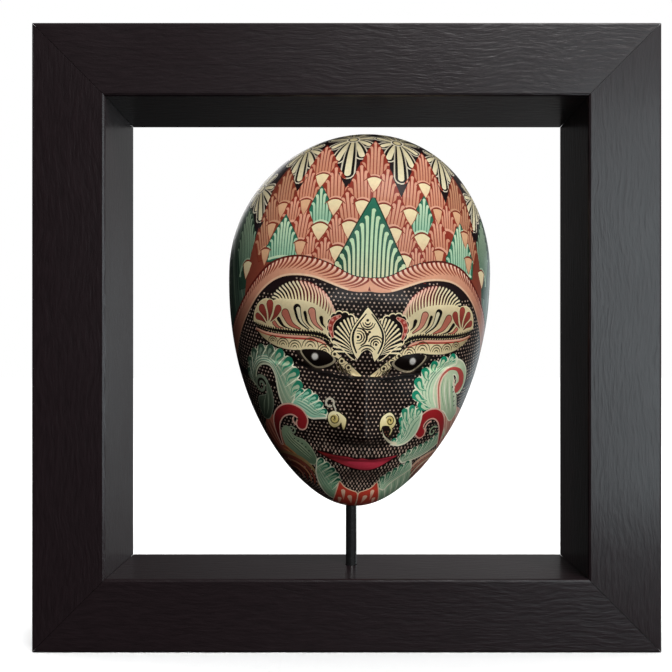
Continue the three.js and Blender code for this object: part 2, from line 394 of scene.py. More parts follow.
FEATHER_FIELD = [
    (0, 70), (6, 53), (12.8, 33), (19.5, 52), (27.5, 69), (33, 51), (38.3, 33), (43, 47), (48, 56), (54, 43),
    (57, 26), (61, 12), (66, -6), (68, -20), (58, -12), (46, -4), (33, -2), (20, -5), (0, -10)]
# The paint of a bundle: its rim, its ground, and its barbs from foot to tip
RED_FEATHER = ("#8c2a20", "#8f3526", "#ca8769", "#e0a388")
FAR_FEATHER = ("#76291f", "#823b29", "#b97d60", "#c99473")
GREEN_FEATHER = ("#18463a", "#2c6e55", "#95c0a0", "#c6dcb8")
TEMPLE_FEATHER = ("#16261c", "#2c4536", "#718c74", "#9db193")
FAR_SIDE, SIDE = 42, 30     # past these the feathers and the shields turn duller
SHIELD_DEPTH = 8.6
ARCH = 0.115                # how strongly the arches are domed, as drop by half width squared
GAP_DEPTHS = (5.0, 4.6, 3.6)


def feather(paint, base, tip, half, barbs, colours, tail=3.0, dome=ARCH):
    """A bundle of barbs that rise from a domed arch and curl outwards at their round tops, lower to both sides."""
    base, tip = np.asarray(base, float), np.asarray(tip, float)
    rim, ground, light, pale = colours
    height = float(np.hypot(*(tip - base)))
    up = (tip - base) / height
    out = np.array([up[1], -up[0]])
    pitch = half / (barbs - 0.1)
    steps = np.arange(-barbs, barbs + 1)
    reaches = height * (1 - 0.74 * (np.abs(steps) / (barbs + 0.25)) ** 1.2)
    curls = np.sign(steps) * pitch * (0.1 + 0.5 * np.abs(steps) / barbs)
    heads = [base + out * (k * pitch * 0.92 + curl) + up * reach for k, curl, reach in zip(steps, curls, reaches)]
    corner = half * 1.1
    below = up * (dome * half * half + tail)
    edge = np.array([base - out * corner - below, heads[0] - out * 0.8,
                     *[h + up * 0.3 for h in heads[:barbs]], tip + up * 1.6, *[h + up * 0.3 for h in heads[barbs + 1:]],
                     heads[-1] + out * 0.8, base + out * corner - below])
    paint.lined(edge, 0.4, rim, ground)
    for k, curl, reach in zip(steps, curls, reaches):
        foot = base + out * k * pitch * 0.84 - up * (dome * (k * pitch) ** 2 - 0.4)
        stem = base + out * k * pitch * 0.9 + up * reach * 0.5
        bend = base + out * (k * pitch * 0.92 + 0.2 * curl) + up * reach * 0.84
        head = base + out * (k * pitch * 0.92 + curl) + up * (reach - 0.5 * pitch)
        widths = [0.66 * pitch, 0.66 * pitch, 0.70 * pitch, 0.92 * pitch]
        paint.stroke([foot, stem, bend, head], widths, light, pale, (base, base + up * height * 0.8), 3)
    shelf = [base + out * x * half - up * (dome * (x * half) ** 2 - 0.45) for x in (-1.0, -0.6, 0, 0.6, 1.0)]
    paint.stroke(shelf, [1.1, 1.3, 1.1], pale, steps=3, ends=(False, False))


def shield(paint, top, half, depth, lean=0.0, colours=(SHIELD, SALMON)):
    """A cream shield that runs down to a point, under a dark arch that spans it."""
    x, y = top
    dome = [(x + half * u, y - ARCH * (half * u) ** 2) for u in np.linspace(-1, 1, 9)]
    right, left = ((x + way * 0.6 * half + 0.5 * lean, y - 0.6 * depth) for way in (1, -1))
    shape = np.vstack([dome, [right, (x + lean, y - depth), left]])
    paint.lined(shape, 0.4, "#9a4632", *colours, ((x, y - 0.3 * depth), (x, y - 1.3 * depth)))
    arch = [(x + half * u, y + 0.2 - ARCH * (half * u) ** 2) for u in np.linspace(-1.35, 1.35, 11)]
    paint.add(ribbon(arch, [0.35, 0.8, 0.95, 0.8, 0.35], True, True), "#7f2f20")


def paint_feathers(paint):
    """The crown's feather bundles in rows, the shields that they stand on, and the black gaps above them."""
    for side in (-1, 1):
        run = (sided([(20, 0)], side)[0], sided([(64, 20)], side)[0])
        paint.add(sided(FEATHER_FIELD, side, CROWN_DROOP), "#a04c38", "#74382a", run)
    shields = []
    for base, tip, half, barbs, kind, shielded in sorted(FEATHERS, key=lambda bundle: bundle[0][::-1], reverse=True):
        for side in ((1,) if kind == "middle" else (-1, 1)):
            low, high = sided([base, tip], side, 0 if kind in ("middle", "temple") else CROWN_DROOP)
            if kind == "temple" and side > 0:
                low, high = np.array(RIGHT_TEMPLE)
            if kind in ("green", "temple"):
                feather(paint, low, high, half, barbs, GREEN_FEATHER, 0.6, ARCH if kind == "green" else 0.02)
            else:
                feather(paint, low, high, half, barbs, FAR_FEATHER if abs(low[0]) > FAR_SIDE else RED_FEATHER)
            if shielded:
                dull = abs(low[0]) > SIDE
                wide = 4.1 if kind == "green" else half * (0.52 if dull else 0.64)
                shields.append((low - (0, 0.5), wide, SHIELD_DEPTH, 0.35 * np.sign(low[0]),
                                (SALMON_DULL, "#c98d6c") if dull else (SHIELD, SALMON)))
    for place in shields:
        shield(paint, *place)
    # black gaps between the bundles, under the round ends of the petals
    for side in (-1, 1):
        for (_, tips, width), depth in zip(FLOWERS, GAP_DEPTHS):
            point = (0, -(depth + 2.2 * (side > 0)) * 2 / width)
            low = [(-1.2, 1.1), (-1, 1), (-0.87, 0.5), (-0.5, 0.13), (0, 0),
                   (0.5, 0.13), (0.87, 0.5), (1, 1), (1.2, 1.1), point]
            paint.add(sided([tips[0]], side, PETAL_DROOP)[0] + np.array(low) * (width / 2), GROUND)


def paint_green_triangle(paint):
    """The green triangle over the brow: hooked barbs with round light heads, one inside the other."""
    edge = [(0.4, 31.2), (8.2, 15.4), (11.9, 7.5), (15.8, 0.3), (17.2, -4.0), (12.0, -6.5), (0, -8.0)]
    outline = np.vstack([edge, [(-x, y) for x, y in edge[-2::-1]]])
    paint.lined(outline, 0.6, "#12301f", "#1d6b52", "#1f4f3c", ((0, 30), (0, 2)))
    for k in reversed(range(8)):
        top, foot = 24.6 - 3.66 * k, -8.0 + 0.05 * k * k
        middle = foot + 0.6 * (top - foot)
        x, reach = 2.02 * k, 0.5 + 2.15 * k
        hook = [(x * 0.95, foot), (x * 0.98, middle), (x + 0.1, middle + 0.55 * (top - middle)),
                (0.35 * x + 0.65 * reach, top - 0.5), (reach, top + 0.3)]
        for side in ((-1, 1) if k else (1,)):
            line = curve([(side * a, b) for a, b in hook], 3)
            paint.add(ribbon(line, [1.15, 1.2, 1.25, 1.6, 2.15]), "#dcd8ac", "#bfdcb0", ((0, -8), (0, 7)))


def cut_back(line, by):
    """A line without the last stretch of a given length."""
    keep = distances(line)[-1] - by
    return np.vstack([line[distances(line) < keep - 0.3], at_distance(line, keep)])


def petal(paint, tip, root, width):
    """A long petal: a pale line, a black gap and a cream core, with a round end below."""
    tip, root = np.asarray(tip, float), np.asarray(root, float)
    bulge = 0.5 * tip + 0.5 * root + np.array([0.06 * (tip - root)[0], 0])
    line = curve([root, bulge, tip], 10)
    growth = np.array([0.3, 0.62, 0.84, 0.96, 1.0])
    layers = ((width, 0, "#a2987f", PALE_LINE), (width - 1.6, 0.8, LINE, None),
              (0.42 * width, 0.24 * width, "#c2b48b", "#f0e3bd"))
    for breadth, back, colour, to in layers:
        paint.add(ribbon(cut_back(line, breadth / 2 + back), breadth * growth), colour, to,
                  (root, tip) if to else None)


# Flowers of the crown: the root, then the petals' tips from the middle one outwards, and their width
FLOWERS = [
    ((12.8, 73.5), [(13.6, 41.2), (6.2, 54), (20.6, 51.5), (1.6, 65), (25.6, 64),
                    (-0.6, 77), (28.5, 78), (3.5, 88), (22, 90), (13, 96)], 7.8),
    ((40.5, 70), [(38.4, 40.6), (32.4, 50), (44.4, 47.4), (29.2, 60), (50.2, 57),
                  (29.5, 72), (53.5, 68), (35, 84), (44, 88), (53, 78)], 7.0),
    ((66, 46), [(58.4, 21.2), (53.0, 31), (64.2, 28.2), (53.6, 42), (71.0, 34),
                (56, 54), (76, 42), (62, 64), (71, 63), (78, 54)], 6.4),
]


def paint_petals(paint):
    """Flowers of long petals that hang from the crown's edge, on black ground."""
    for side in (-1, 1):
        for root, tips, width in FLOWERS:
            hub = sided([root], side, PETAL_DROOP)[0]
            for n in reversed(range(len(tips))):
                petal(paint, sided([tips[n]], side, PETAL_DROOP)[0], hub, width * (1 - 0.035 * n))
            for radius, colour in ((4.0, PALE_LINE), (3.2, LINE), (2.3, "#cfc093")):
                paint.add(disc(hub, radius, 14), colour)


def band_curves(side):
    """The headband's upper and lower edge on one side."""
    upper = [(0, -7), (6, -6.7), (11, -5), (15, -2.8), (20, -0.6), (26, 1.4), (33, 2.6), (40, 2.3), (46, 0.8),
             (52, -2.2), (58, -7), (64, -12.5), (72, -20.5), (82, -30), (92, -40), (104, -54)]
    lower = [(0, -13), (5, -13.4), (10, -12.9), (15, -11.3), (20, -9.4), (26, -7.4), (33, -6.4), (40, -6.6),
             (46, -8.2), (52, -11.5), (58, -16.5), (64, -23), (70, -30), (76, -38), (82, -47), (92, -62)]
    return curve(sided(upper, side), 4), curve(sided(lower, side), 4)


def paint_band(paint):
    """The headband: strokes with round pale heads that sweep outwards from its upper edge, over a pale lower edge."""
    halves = [(side, *band_curves(side)) for side in (-1, 1)]
    for _, upper, lower in halves:
        paint.add(grown(np.vstack([upper, lower[::-1]]), 0.55), "#1d0f0e")
    for side, upper, lower in halves:
        far, near = sided([(76, -30), (30, -4)], side)
        paint.add(np.vstack([(-0.4 * side, lower[0, 1]), (-0.4 * side, upper[0, 1]), upper, lower[::-1]]), "#e0a182",
                  "#9a604c", (near, far))
        length, length_low = distances(upper)[-1], distances(lower)[-1]
        for k in range(42):
            place = 0.6 + 2.62 * k - 0.004 * k * k
            close = math.exp(-(place / 46) ** 2)
            run = place + (2.8 + 6.6 * close) * np.array([0, 0.02, 0.24, 0.6, 1.0])
            share = (0.36 + 0.48 * close) * np.array([-0.05, 0.16, 0.48, 0.76, 1.0])[:, None]
            high, low = at_distance(upper, run), at_distance(lower, run * length_low / length)
            line = curve(high * (1 - share) + low * share, 3)
            paint.add(ribbon(line, [1.5, 1.05, 0.85, 0.65, 0.2], False), "#85291d",
                      "#a55640" if close > 0.3 else "#80463a", (line[0], line[-1]))
            shift = at_distance(upper, place + 1.3) - at_distance(upper, place)
            paint.add(drop(line[9] + shift, line[2] + shift, 0.66, 0.05 * side), "#e2a688",
                      "#f6cdb4" if close > 0.2 else "#cf9a84", (line[8] + shift, line[2] + shift))
        paint.add(ribbon(lower[8:] + (0, 0.5), [1.0, 1.0]), "#ecc3a2", "#a9775f", (near, far))
        paint.add(ribbon(upper[20:], [0.5, 1.1, 0.9]), "#5d1d17")
    paint.add([(-0.9, -12.6), (0.5, -12.8), (-0.3, -10.6)], "#7d2a20")


# The face: brows, eyes, central leaf, scrolls, lips

def arcs(paint, centre, radii, start, end, width, colour):
    """Concentric brush arcs, with angles in degrees."""
    for radius in radii:
        turn = np.radians(np.linspace(start, end, 7))
        line = np.asarray(centre) + radius * rays(turn)
        paint.add(ribbon(line, [0.5 * width, width, 0.5 * width], True, True), colour)


def spiral(centre, radius, turns, start, way, inner):
    """A line that winds in from a radius to a share of it; start in degrees, way 1 for anticlockwise."""
    t = np.linspace(0, 1, int(10 * turns) + 4)
    angle = math.radians(start) + way * 2 * math.pi * turns * t
    reach = radius * (1 - (1 - inner) * t)
    return np.asarray(centre, float) + reach[:, None] * rays(angle)


def paint_brow(paint, side):
    """A wing of a brow: a fringe of barbs, a cream body with comma drops, and dark red petals outside."""
    at = lambda points: sided(points, side)
    tips = curve(at([(15.2, -24.2), (17, -20), (20.0, -14.8), (24.2, -11.4), (28.5, -9.3), (33.5, -8.5), (38.6, -9.1),
                     (43.0, -11.1), (46.7, -14.5), (48.4, -17.4)]), 5)
    feet = curve(at([(16.6, -28.2), (18.4, -25.6), (22, -22.2), (26, -20), (30.5, -18.8), (35, -18.2), (39.5, -18),
                     (43.5, -17.8), (47.5, -18.6)]), 5)
    outer = curve(at([(47.5, -18.6), (52, -17.6), (56.4, -19.6), (59.2, -23.4), (60.2, -27.6)]), 4)
    lower = curve(at([(60.2, -27.6), (54, -30.0), (46, -31.2), (36, -31.8), (27, -31.8), (21, -33), (16.8, -35.4)]), 4)
    body = np.vstack([feet, outer[1:], lower[1:]])
    paint.add(np.vstack([tips, feet[::-1]]), "#702420", INK, at([(24, -18), (40, -12)]))
    paint.lined(body, 0.5, CREAM_DEEP, "#ead8ac", "#d8c296", at([(30, -20), (55, -28)]))
    barbs = 22
    for k in range(barbs):
        t = (k + 0.5) / barbs
        tip = at_share(tips, t)
        foot = at_share(feet, max(0.0, t * 1.02 - 0.085))
        foot = foot + (foot - tip) * 0.1
        bow = 0.09 * to_the_left(tip - foot) * side
        inner = t < 0.58
        line = curve([foot, (foot + tip) / 2 + bow, tip + (foot - tip) * 0.07], 4)
        paint.add(ribbon(line, [1.15, 0.75, 0.72, 1.0]), CREAM_DEEP, "#dccfae" if not inner else "#eab0a0",
                  (foot + (tip - foot) * 0.25, tip))
    # comma drops: head, then tail, radius, fill and line
    drops = (((22.4, -25.8), (19.6, -30.6), 0.95, "#17100e", CREAM),
             ((27.0, -23.0), (21.4, -31.4), 1.5, "#d98f78", "#5b2a20"),
             ((30.4, -23.6), (25.4, -31.2), 0.8, "#17100e", CREAM),
             ((34.4, -21.6), (28.6, -31.4), 1.9, LINE, CREAM),
             ((33.9, -22.0), (28.2, -31.0), 0.95, "#ece0bb", LINE),
             ((40.6, -24.0), (32.4, -31.2), 1.75, "#c4705c", "#5b2a20"),
             ((44.4, -26.6), (37.2, -31.2), 1.0, "#17100e", CREAM),
             ((47.0, -28.4), (41.6, -31.0), 0.8, "#c4705c", "#5b2a20"))
    for head, tail, radius, colour, line in drops:
        shape = drop(*at([tail, head]), radius, -0.14 * side)
        paint.lined(shape, 0.38, line, colour)
    # dark red petals: angle, reach, radius and colour
    hub = at([(50.4, -29.6)])[0]
    petals = ((128, 9.6, 1.75, "#7c2a22"), (96, 9.8, 2.0, "#842c24"),
              (62, 8.8, 2.0, "#7c2a22"), (30, 8.2, 1.6, "#6f241d"))
    for angle, reach, radius, colour in petals:
        turn = math.radians(angle)
        head = hub + reach * np.array([side * math.cos(turn), math.sin(turn)])
        shape = drop(hub + (head - hub) * 0.22, head, radius, 0.06 * side)
        paint.add(grown(shape, 0.55), "#e3d2a6")
        paint.lined(shape, 0.15, "#3b1511", colour, "#9b4237", (hub, head))
    # a twisted rope under the brow
    rope = [(59.5, -29.2), (54, -30.6), (46, -31.9), (36, -32.6), (27, -32.8), (21, -33.9), (16, -37.0), (12, -41)]
    rope = curve(at(rope), 4)
    paint.add(ribbon(rope, [0.6, 2.4, 2.4, 0.9]), "#cbb98c")
    paint.add(ribbon(rope, [0.6, 1.3, 1.4, 0.9]), LINE)
    twist = 1.45
    for k in range(int(distances(rope)[-1] / twist) - 2):
        place = at_distance(rope, 1.2 + twist * k)
        paint.stroke([place + (-0.75 * side, -1.15), place, place + (0.55 * side, 1.25)], [0.5, 1.05, 0.5], LINE,
                     steps=2, ends=(True, True))


def paint_lid(paint, side):
    """Under the brow a red line and a cream strip with scrolls run in to the nose's root."""
    at = lambda points: sided(points, side)
    strip_top = [(59, -31), (52, -33), (44, -34), (36, -34.5), (28, -34.8), (22, -36.2), (17, -39.5), (12, -43.5),
                 (6, -48.5), (2.2, -51.8)]
    strip_low = [(2.2, -52.2), (7, -51.6), (12, -47.5), (16, -43.8), (20, -41.4), (26, -40.4), (32, -40.8),
                 (40, -40.6), (48, -38.6), (55, -35)]
    shape = np.vstack([curve(at(strip_top), 3), curve(at(strip_low), 3)])
    paint.add(shape, "#e6d4a8", "#93825f", at([(34, -36), (58, -36)]))
    red_line = [*strip_top[:6], (19.4, -38.0)]
    paint.stroke(at(red_line), [0.3, 0.9, 1.0, 0.5], "#e3a68e")
    paint.stroke(at([(a, b - 0.9) for a, b in red_line]), [0.3, 0.8, 0.9, 0.4], "#a8372d")
    scrolls = ((48, -37.4, 1.0), (42, -38.8, 1.2), (35.5, -39.8, 1.25), (27.5, -39.3, 1.5), (20.5, -41.2, 1.25))
    for x, y, size in scrolls:
        arcs(paint, at([(x, y)])[0], (0.8 * size, 1.8 * size, 2.8 * size), 5, 175, 0.62, "#4a3b22")
    for place in at([(15.5, -42.2), (12, -45.3), (8.6, -48.2)]):
        paint.add(disc(place, 0.8, 8), UMBER)
        arcs(paint, place, (1.8,), 0, 320, 0.55, "#3d301c")


def paint_eye(paint, side):
    """A lowered almond eye: black, with a pale line under it and one soft glint."""
    at = lambda points: sided(points, side)
    droop = 0.0 if side < 0 else -0.8
    move = lambda points: at([(x - 2.5 * (side > 0), y + droop) for x, y in points])
    under = move([(34.5, -40.6), (31, -45.5), (25, -49.4), (19, -48.6), (14.2, -45.4), (15, -43.6), (24, -43.5)])
    rim = move([(32.6, -40.9), (30.0, -45.2), (24.6, -48.8), (18.4, -48.0), (14.8, -44.8), (20, -41.3), (27, -40.4)])
    ball = move([(31.8, -40.9), (29.3, -44.8), (24.6, -48.0), (19.0, -47.1), (16.0, -44.6), (20, -41.0), (27, -40.2)])
    paint.add(curve(under, 4, True), "#2b231d")
    for k in range(5):
        top, low = np.array([14.5 - 1.5 * k, -46.2 - 0.75 * k]), np.array([12.6 - 1.5 * k, -50.6 - 0.25 * k])
        paint.stroke(move([top, (top + low) / 2 + (0.4, 0), low]), [0.3, 0.5, 0.2], "#6b5d43", steps=3)
    paint.add(curve(rim, 4, True), "#a3957c")
    paint.add(curve(ball, 4, True), "#120b09")
    glint = move([(25.2, -43.6)])[0]
    paint.add(disc(glint, 1.9, 12), "#6f6862")
    paint.add(disc(glint, 1.45, 12), "#c9c4bd")


def paint_crease_shadow(paint, side):
    """The painted shadow of the carved crease: a dark line that runs out from the nose's root under the eye."""
    line = curve(sided([(1.5, -53.0), (11, -53.0), (20, -51.4), (31, -47.6), (42, -41.4), (52, -34.6)], side), 4)
    # painted shade: a near-black line where the carved crease lies in shadow
    paint.add(ribbon(line, [1.0, 1.7, 2.0, 1.7, 1.0, 0.4], True, True), "#0c0706")


def paint_central_leaf(paint):
    """The cream leaf between the brows, with scrolls in it and a half fan on each side."""
    pale = "#f6e6bc"
    for side in (-1, 1):
        at = lambda points: sided(points, side)
        edge = [(4.6, -27.8), (7.6, -25.2), (11.6, -23.6), (15.4, -23.8), (18, -26.4), (18.8, -30), (17.6, -34),
                (15.2, -37)]
        rim = scalloped(at(edge), 9, 0.75 * side)
        fan = np.vstack([rim, curve(at([(15.2, -37), (12, -39.2), (8, -43), (5.6, -44.6)]), 3)])
        paint.lined(fan, 0.6, pale, INK)
        for k in range(14):
            turn = math.radians(6 + 8.2 * k)
            foot = np.array([5.2 + 0.07 * k, -42.2 + 0.2 * k])
            reach = 15.9 - 0.09 * (k - 6.2) ** 2
            head = foot + reach * np.array([math.cos(turn) * 0.82, math.sin(turn)])
            paint.add(drop(*at([foot, head]), 0.47, 0.05 * side), pale)
        beads = curve(at([(13.6, -24.8), (16.6, -26.6), (17.8, -30), (16.6, -34.2)]), 4)
        paint.add(ribbon(beads, [1.6, 2.9, 2.6, 1.4], True, True), "#e3b49b")
        paint.add(ribbon(beads, [1.0, 2.2, 1.9, 0.8], True, True), "#a83c33")
        paint.spots(beads[1::3] + (0.3 * side, 0), 0.72, "#dd8d80")
    left = curve([(-0.6, -20.8), (-3.6, -25.4), (-6.6, -29.8), (-7.9, -34.5), (-6.8, -39.5), (-4.6, -43.8)], 4)
    foot = curve([(-4.6, -43.8), (-3, -40.8), (0, -39.2), (2.6, -41.0), (3.8, -44.6)], 3)
    right = curve([(3.8, -44.6), (6.5, -39.8), (7.7, -34.5), (6.3, -29.8), (3.0, -25.4), (-0.6, -20.8)], 4)
    leaf = np.vstack([left, foot[1:], right[1:-1]])
    paint.add(grown(leaf, 0.9), INK)
    paint.lined(leaf, 0.5, pale, "#f3e2b6")
    for side in (-1, 1):
        rib = sided([(1.2, -23.2), (4.6, -27.6), (6.9, -32.2), (6.9, -36.8), (5.2, -41.2)], side)
        paint.stroke(rib, [0.5, 0.9, 1.1, 0.7], "#15100c")
    arcs(paint, (-4.6, -34.0), (1.7, 2.9), -105, 105, 0.75, UMBER)
    arcs(paint, (-4.6, -34.0), (4.1,), -70, 95, 1.1, UMBER)
    arcs(paint, (3.9, -37.0), (1.3, 2.5, 3.7), 20, 205, 0.8, UMBER)
    arcs(paint, (-0.4, -27.0), (1.2, 2.4, 3.5), 190, 350, 0.8, UMBER)
    arcs(paint, (-0.2, -42.4), (3.2, 4.7), 35, 145, 0.75, UMBER)
    paint.spots([(-0.2, -32.6), (0.6, -31.6), (-4.7, -34.0), (4.0, -37.2), (-0.5, -26.2)], 0.7, UMBER)


def leaf_lobes(paint, edge, spine, lobes, depth, pale, deep, far, veins):
    """An acanthus leaf: lobes along its edge, each with a deep tip, and pale veins that run with its sweep.

    It starts in the far colour where one is given, and turns into the pale one.
    """
    outer, inner = curve(edge, 10), curve(spine, 10)
    rim = scalloped(edge, lobes, depth)
    shape = np.vstack([rim, inner[::-1]])
    ends = (outer[0], outer[-1])
    paint.add(grown(shape, 0.95), "#b2b798" if far else "#e6e3c8", "#e6e3c8", ends)
    paint.add(shape, far or pale, pale, ends)
    t = np.linspace(0.03, 0.97, 18)
    near, away = at_share(outer, t), at_share(inner, t)
    for k in range(2 * veins):
        share = 0.34 + 0.58 * k / (2 * veins)
        line = near * (1 - share) + away * share
        paint.add(ribbon(line[k % 3:], [0.15, 0.55, 0.5, 0.15]), "#dde1c6" if k % 2 else "#6f9a80",
                  pale if k % 2 else None, ends if k % 2 else None)
    for k in range(lobes):
        place = (k + 0.5) / lobes
        ahead = at_share(outer, min(1, place + 0.02)) - at_share(outer, place - 0.02)
        across = to_the_left(ahead) / max(np.hypot(*ahead), TINY)
        spot = at_share(outer, place) + across * depth * 0.35
        root_place = max(0.0, place - 0.55 / lobes)
        root = at_share(outer, root_place) * 0.45 + at_share(inner, root_place) * 0.55
        size = 0.38 * distances(outer)[-1] / lobes
        dim = far and place < 0.6
        paint.add(drop(root, spot, size, 0.12), "#33503f" if dim else deep, "#5b7160" if dim else GREEN, (spot, root))
        paint.add(drop(root * 0.9 + spot * 0.1, spot * 0.86 + root * 0.14 + across * 0.2, 0.42 * size, 0.2),
                  "#7f927b" if dim else pale)
        notch = at_share(outer, (k + 1) / lobes)
        vein = at_share(outer, k / lobes) * 0.4 + at_share(inner, k / lobes) * 0.6
        paint.stroke([notch, notch * 0.5 + vein * 0.5 + across * 0.4, vein], [0.7, 0.5, 0.15], "#dfe3c6", steps=3)
    return shape


def volute(paint, line, widths, colour, deep, edge=PINK):
    """A thick scroll that swells to a round head, with a pale line round it."""
    shape = ribbon(curve(line, 6), widths)
    paint.lined(shape, 0.75, edge, colour, deep, (np.asarray(line[-1]), np.asarray(line[0])))


def scroll_rings(paint, centre, squash, start, end, rings, to=None):
    """Part rings of a scroll, one inside the other: the radius, colour and width of each."""
    turn = np.radians(np.linspace(start, end, 16))
    for radius, colour, width in rings:
        line = np.array(centre) + radius * rays(turn, squash)
        paint.add(ribbon(line, [0.4 * width, width, width, 0.4 * width]), colour, to,
                  (line[3], line[-1]) if to else None)


def streaks(paint, first, last, count, width, colours):
    """Strokes that turn step by step from one line into another."""
    first, last = np.asarray(first, float), np.asarray(last, float)
    for k in range(count):
        t = k / max(count - 1, 1)
        line = curve(first * (1 - t) + last * t, 4)
        paint.add(ribbon(line, [0.25 * width, width, 0.8 * width, 0.2 * width]), colours[k % len(colours)])


def paint_left_cheek(paint):
    """The viewer's left cheek: a red scroll, the long acanthus leaf over it, and a leaf and a scroll at the jaw."""
    # the brown-red jaw, the dim leaf that carries the spiral, and the green form inside the scroll
    jaw = curve([(-56, -74), (-52, -74.5), (-49.5, -78), (-47, -84), (-43, -92), (-46, -97), (-54, -99), (-60, -94),
                 (-61, -86), (-58.5, -79)], 4, True)
    paint.add(jaw, "#b9654f", "#6d3f35", ((-50, -80), (-62, -92)))
    streaks(paint, [(-55, -76.5), (-53, -81), (-51, -86), (-48.5, -91)],
            [(-60, -84), (-58, -89), (-55, -93), (-51, -97)], 6, 0.8, ("#cd8268", "#7a3a32"))
    dim = curve([(-53.6, -57.4), (-51.0, -61.5), (-50.4, -67), (-52, -72.5), (-55.4, -77.5), (-60, -78), (-62.4, -72),
                 (-61.6, -67), (-58, -65.4), (-54.8, -64.2), (-53.8, -61)], 4, True)
    paint.lined(dim, 0.5, "#7b8673", "#5c6a55", "#2f3a2e", ((-52, -60), (-60, -78)))
    streaks(paint, [(-52.8, -60), (-52, -65), (-53, -71), (-56.4, -76)],
            [(-56.5, -66.5), (-59, -69), (-60.4, -73), (-60, -77)], 5, 0.6, ("#3a4739", "#86927a"))
    green = curve([(-46.6, -86), (-46.2, -82), (-43.6, -79.4), (-40.8, -80.4), (-40.4, -83), (-37.4, -84.6),
                   (-32.6, -85.8), (-28.2, -90.2), (-25.8, -96), (-28, -99), (-35, -97.4), (-41, -94.6),
                   (-45, -91.2)], 4, True)
    paint.lined(green, 0.6, "#9aa585", "#93a886", "#5f7359", ((-40, -82), (-32, -98)))
    streaks(paint, [(-45.4, -85), (-42.6, -88), (-38, -91.4), (-30, -96.4)],
            [(-42.4, -81.4), (-39, -86), (-34, -89), (-28, -94)], 6, 0.6, ("#54694f", "#b3bf9a"))
    paint.spots([(-38.8, -85.6), (-36.4, -86.6), (-34.0, -87.6), (-31.8, -89.2), (-30.0, -91.2)], 0.5, "#2c3a2c")
    streaks(paint, [(-49, -91), (-44, -92.6), (-38, -96), (-31, -99.6)],
            [(-48, -96), (-43, -96.6), (-38, -98.6), (-32, -102)], 4, 0.9, ("#d08a4c", "#8a4630"))
    # scrolls of brown and salmon lower down
    scroll_rings(paint, (-41, -111.5), 0.95, -15, 195, (
        (16, "#a88658", 2.2), (13.4, "#8a4234", 2.6), (10.8, "#c4825e", 1.6),
        (8.2, "#6a2c24", 2.8), (5.4, "#b8725a", 1.6), (3.0, "#4a201a", 2.4)), "#3a2018")
    leaf_lobes(paint, [(-24.8, -95.6), (-21.6, -96.6), (-17.4, -99.8), (-13.8, -104), (-12.4, -109.5)],
               [(-26.0, -104), (-24.8, -111), (-22, -118), (-18, -123), (-14, -124)],
               5, 1.1, "#8fae8a", "#1c5a42", None, 4)
    # the long acanthus leaf over the cheek, with its dark spiral inside
    leaf_lobes(paint, [(-67, -57), (-66, -50), (-62, -44.4), (-56, -41.6), (-50, -41.6), (-43.6, -43.6),
                       (-38.6, -47.6), (-35.4, -53.4), (-34.2, -60.5)],
               [(-62.5, -60), (-61.5, -53), (-57, -48.4), (-50.5, -48.4), (-47, -53), (-46, -59), (-45, -64),
                (-42, -69.5), (-36, -70.5)],
               9, 1.9, "#a6ba9a", "#23785c", "#3f4d3c", 3)
    leaf_lobes(paint, [(-34.6, -61.4), (-31, -60.4), (-27, -61.4), (-24, -64.6), (-21.8, -68.6), (-19.6, -71.2)],
               [(-38, -67), (-34.5, -69), (-31, -71), (-27.5, -72.6), (-24, -72.4), (-20, -72)],
               5, 0.9, "#8fc3a4", "#187058", None, 4)
    paint.add(ribbon(spiral((-58.2, -59.4), 5.2, 1.5, 20, 1, 0.14), [1.8, 1.7, 1.4, 0.9]), "#67745f", "#838f79",
              ((-62, -60), (-54, -55)))
    # the red scroll and the curl in it
    paint.add(ribbon(spiral((-39.4, -81.0), 2.7, 1.3, 200, -1, 0.14), [0.8, 1.0, 0.7]), "#93a084")
    volute(paint, [(-48.4, -92), (-50, -84), (-49.4, -77), (-45.6, -71.8), (-40, -69.6), (-35, -70.8), (-32.6, -74),
                   (-33.4, -76.6)],
           [0.8, 3.0, 4.6, 4.8, 4.6, 4.8, 5.4], "#9a2328", "#5a1e1c")
    paint.stroke([(-37.4, -72.9), (-38.6, -74.6), (-37.6, -76.8), (-36.4, -77.4)], [0.5, 1.0, 0.8], PINK)


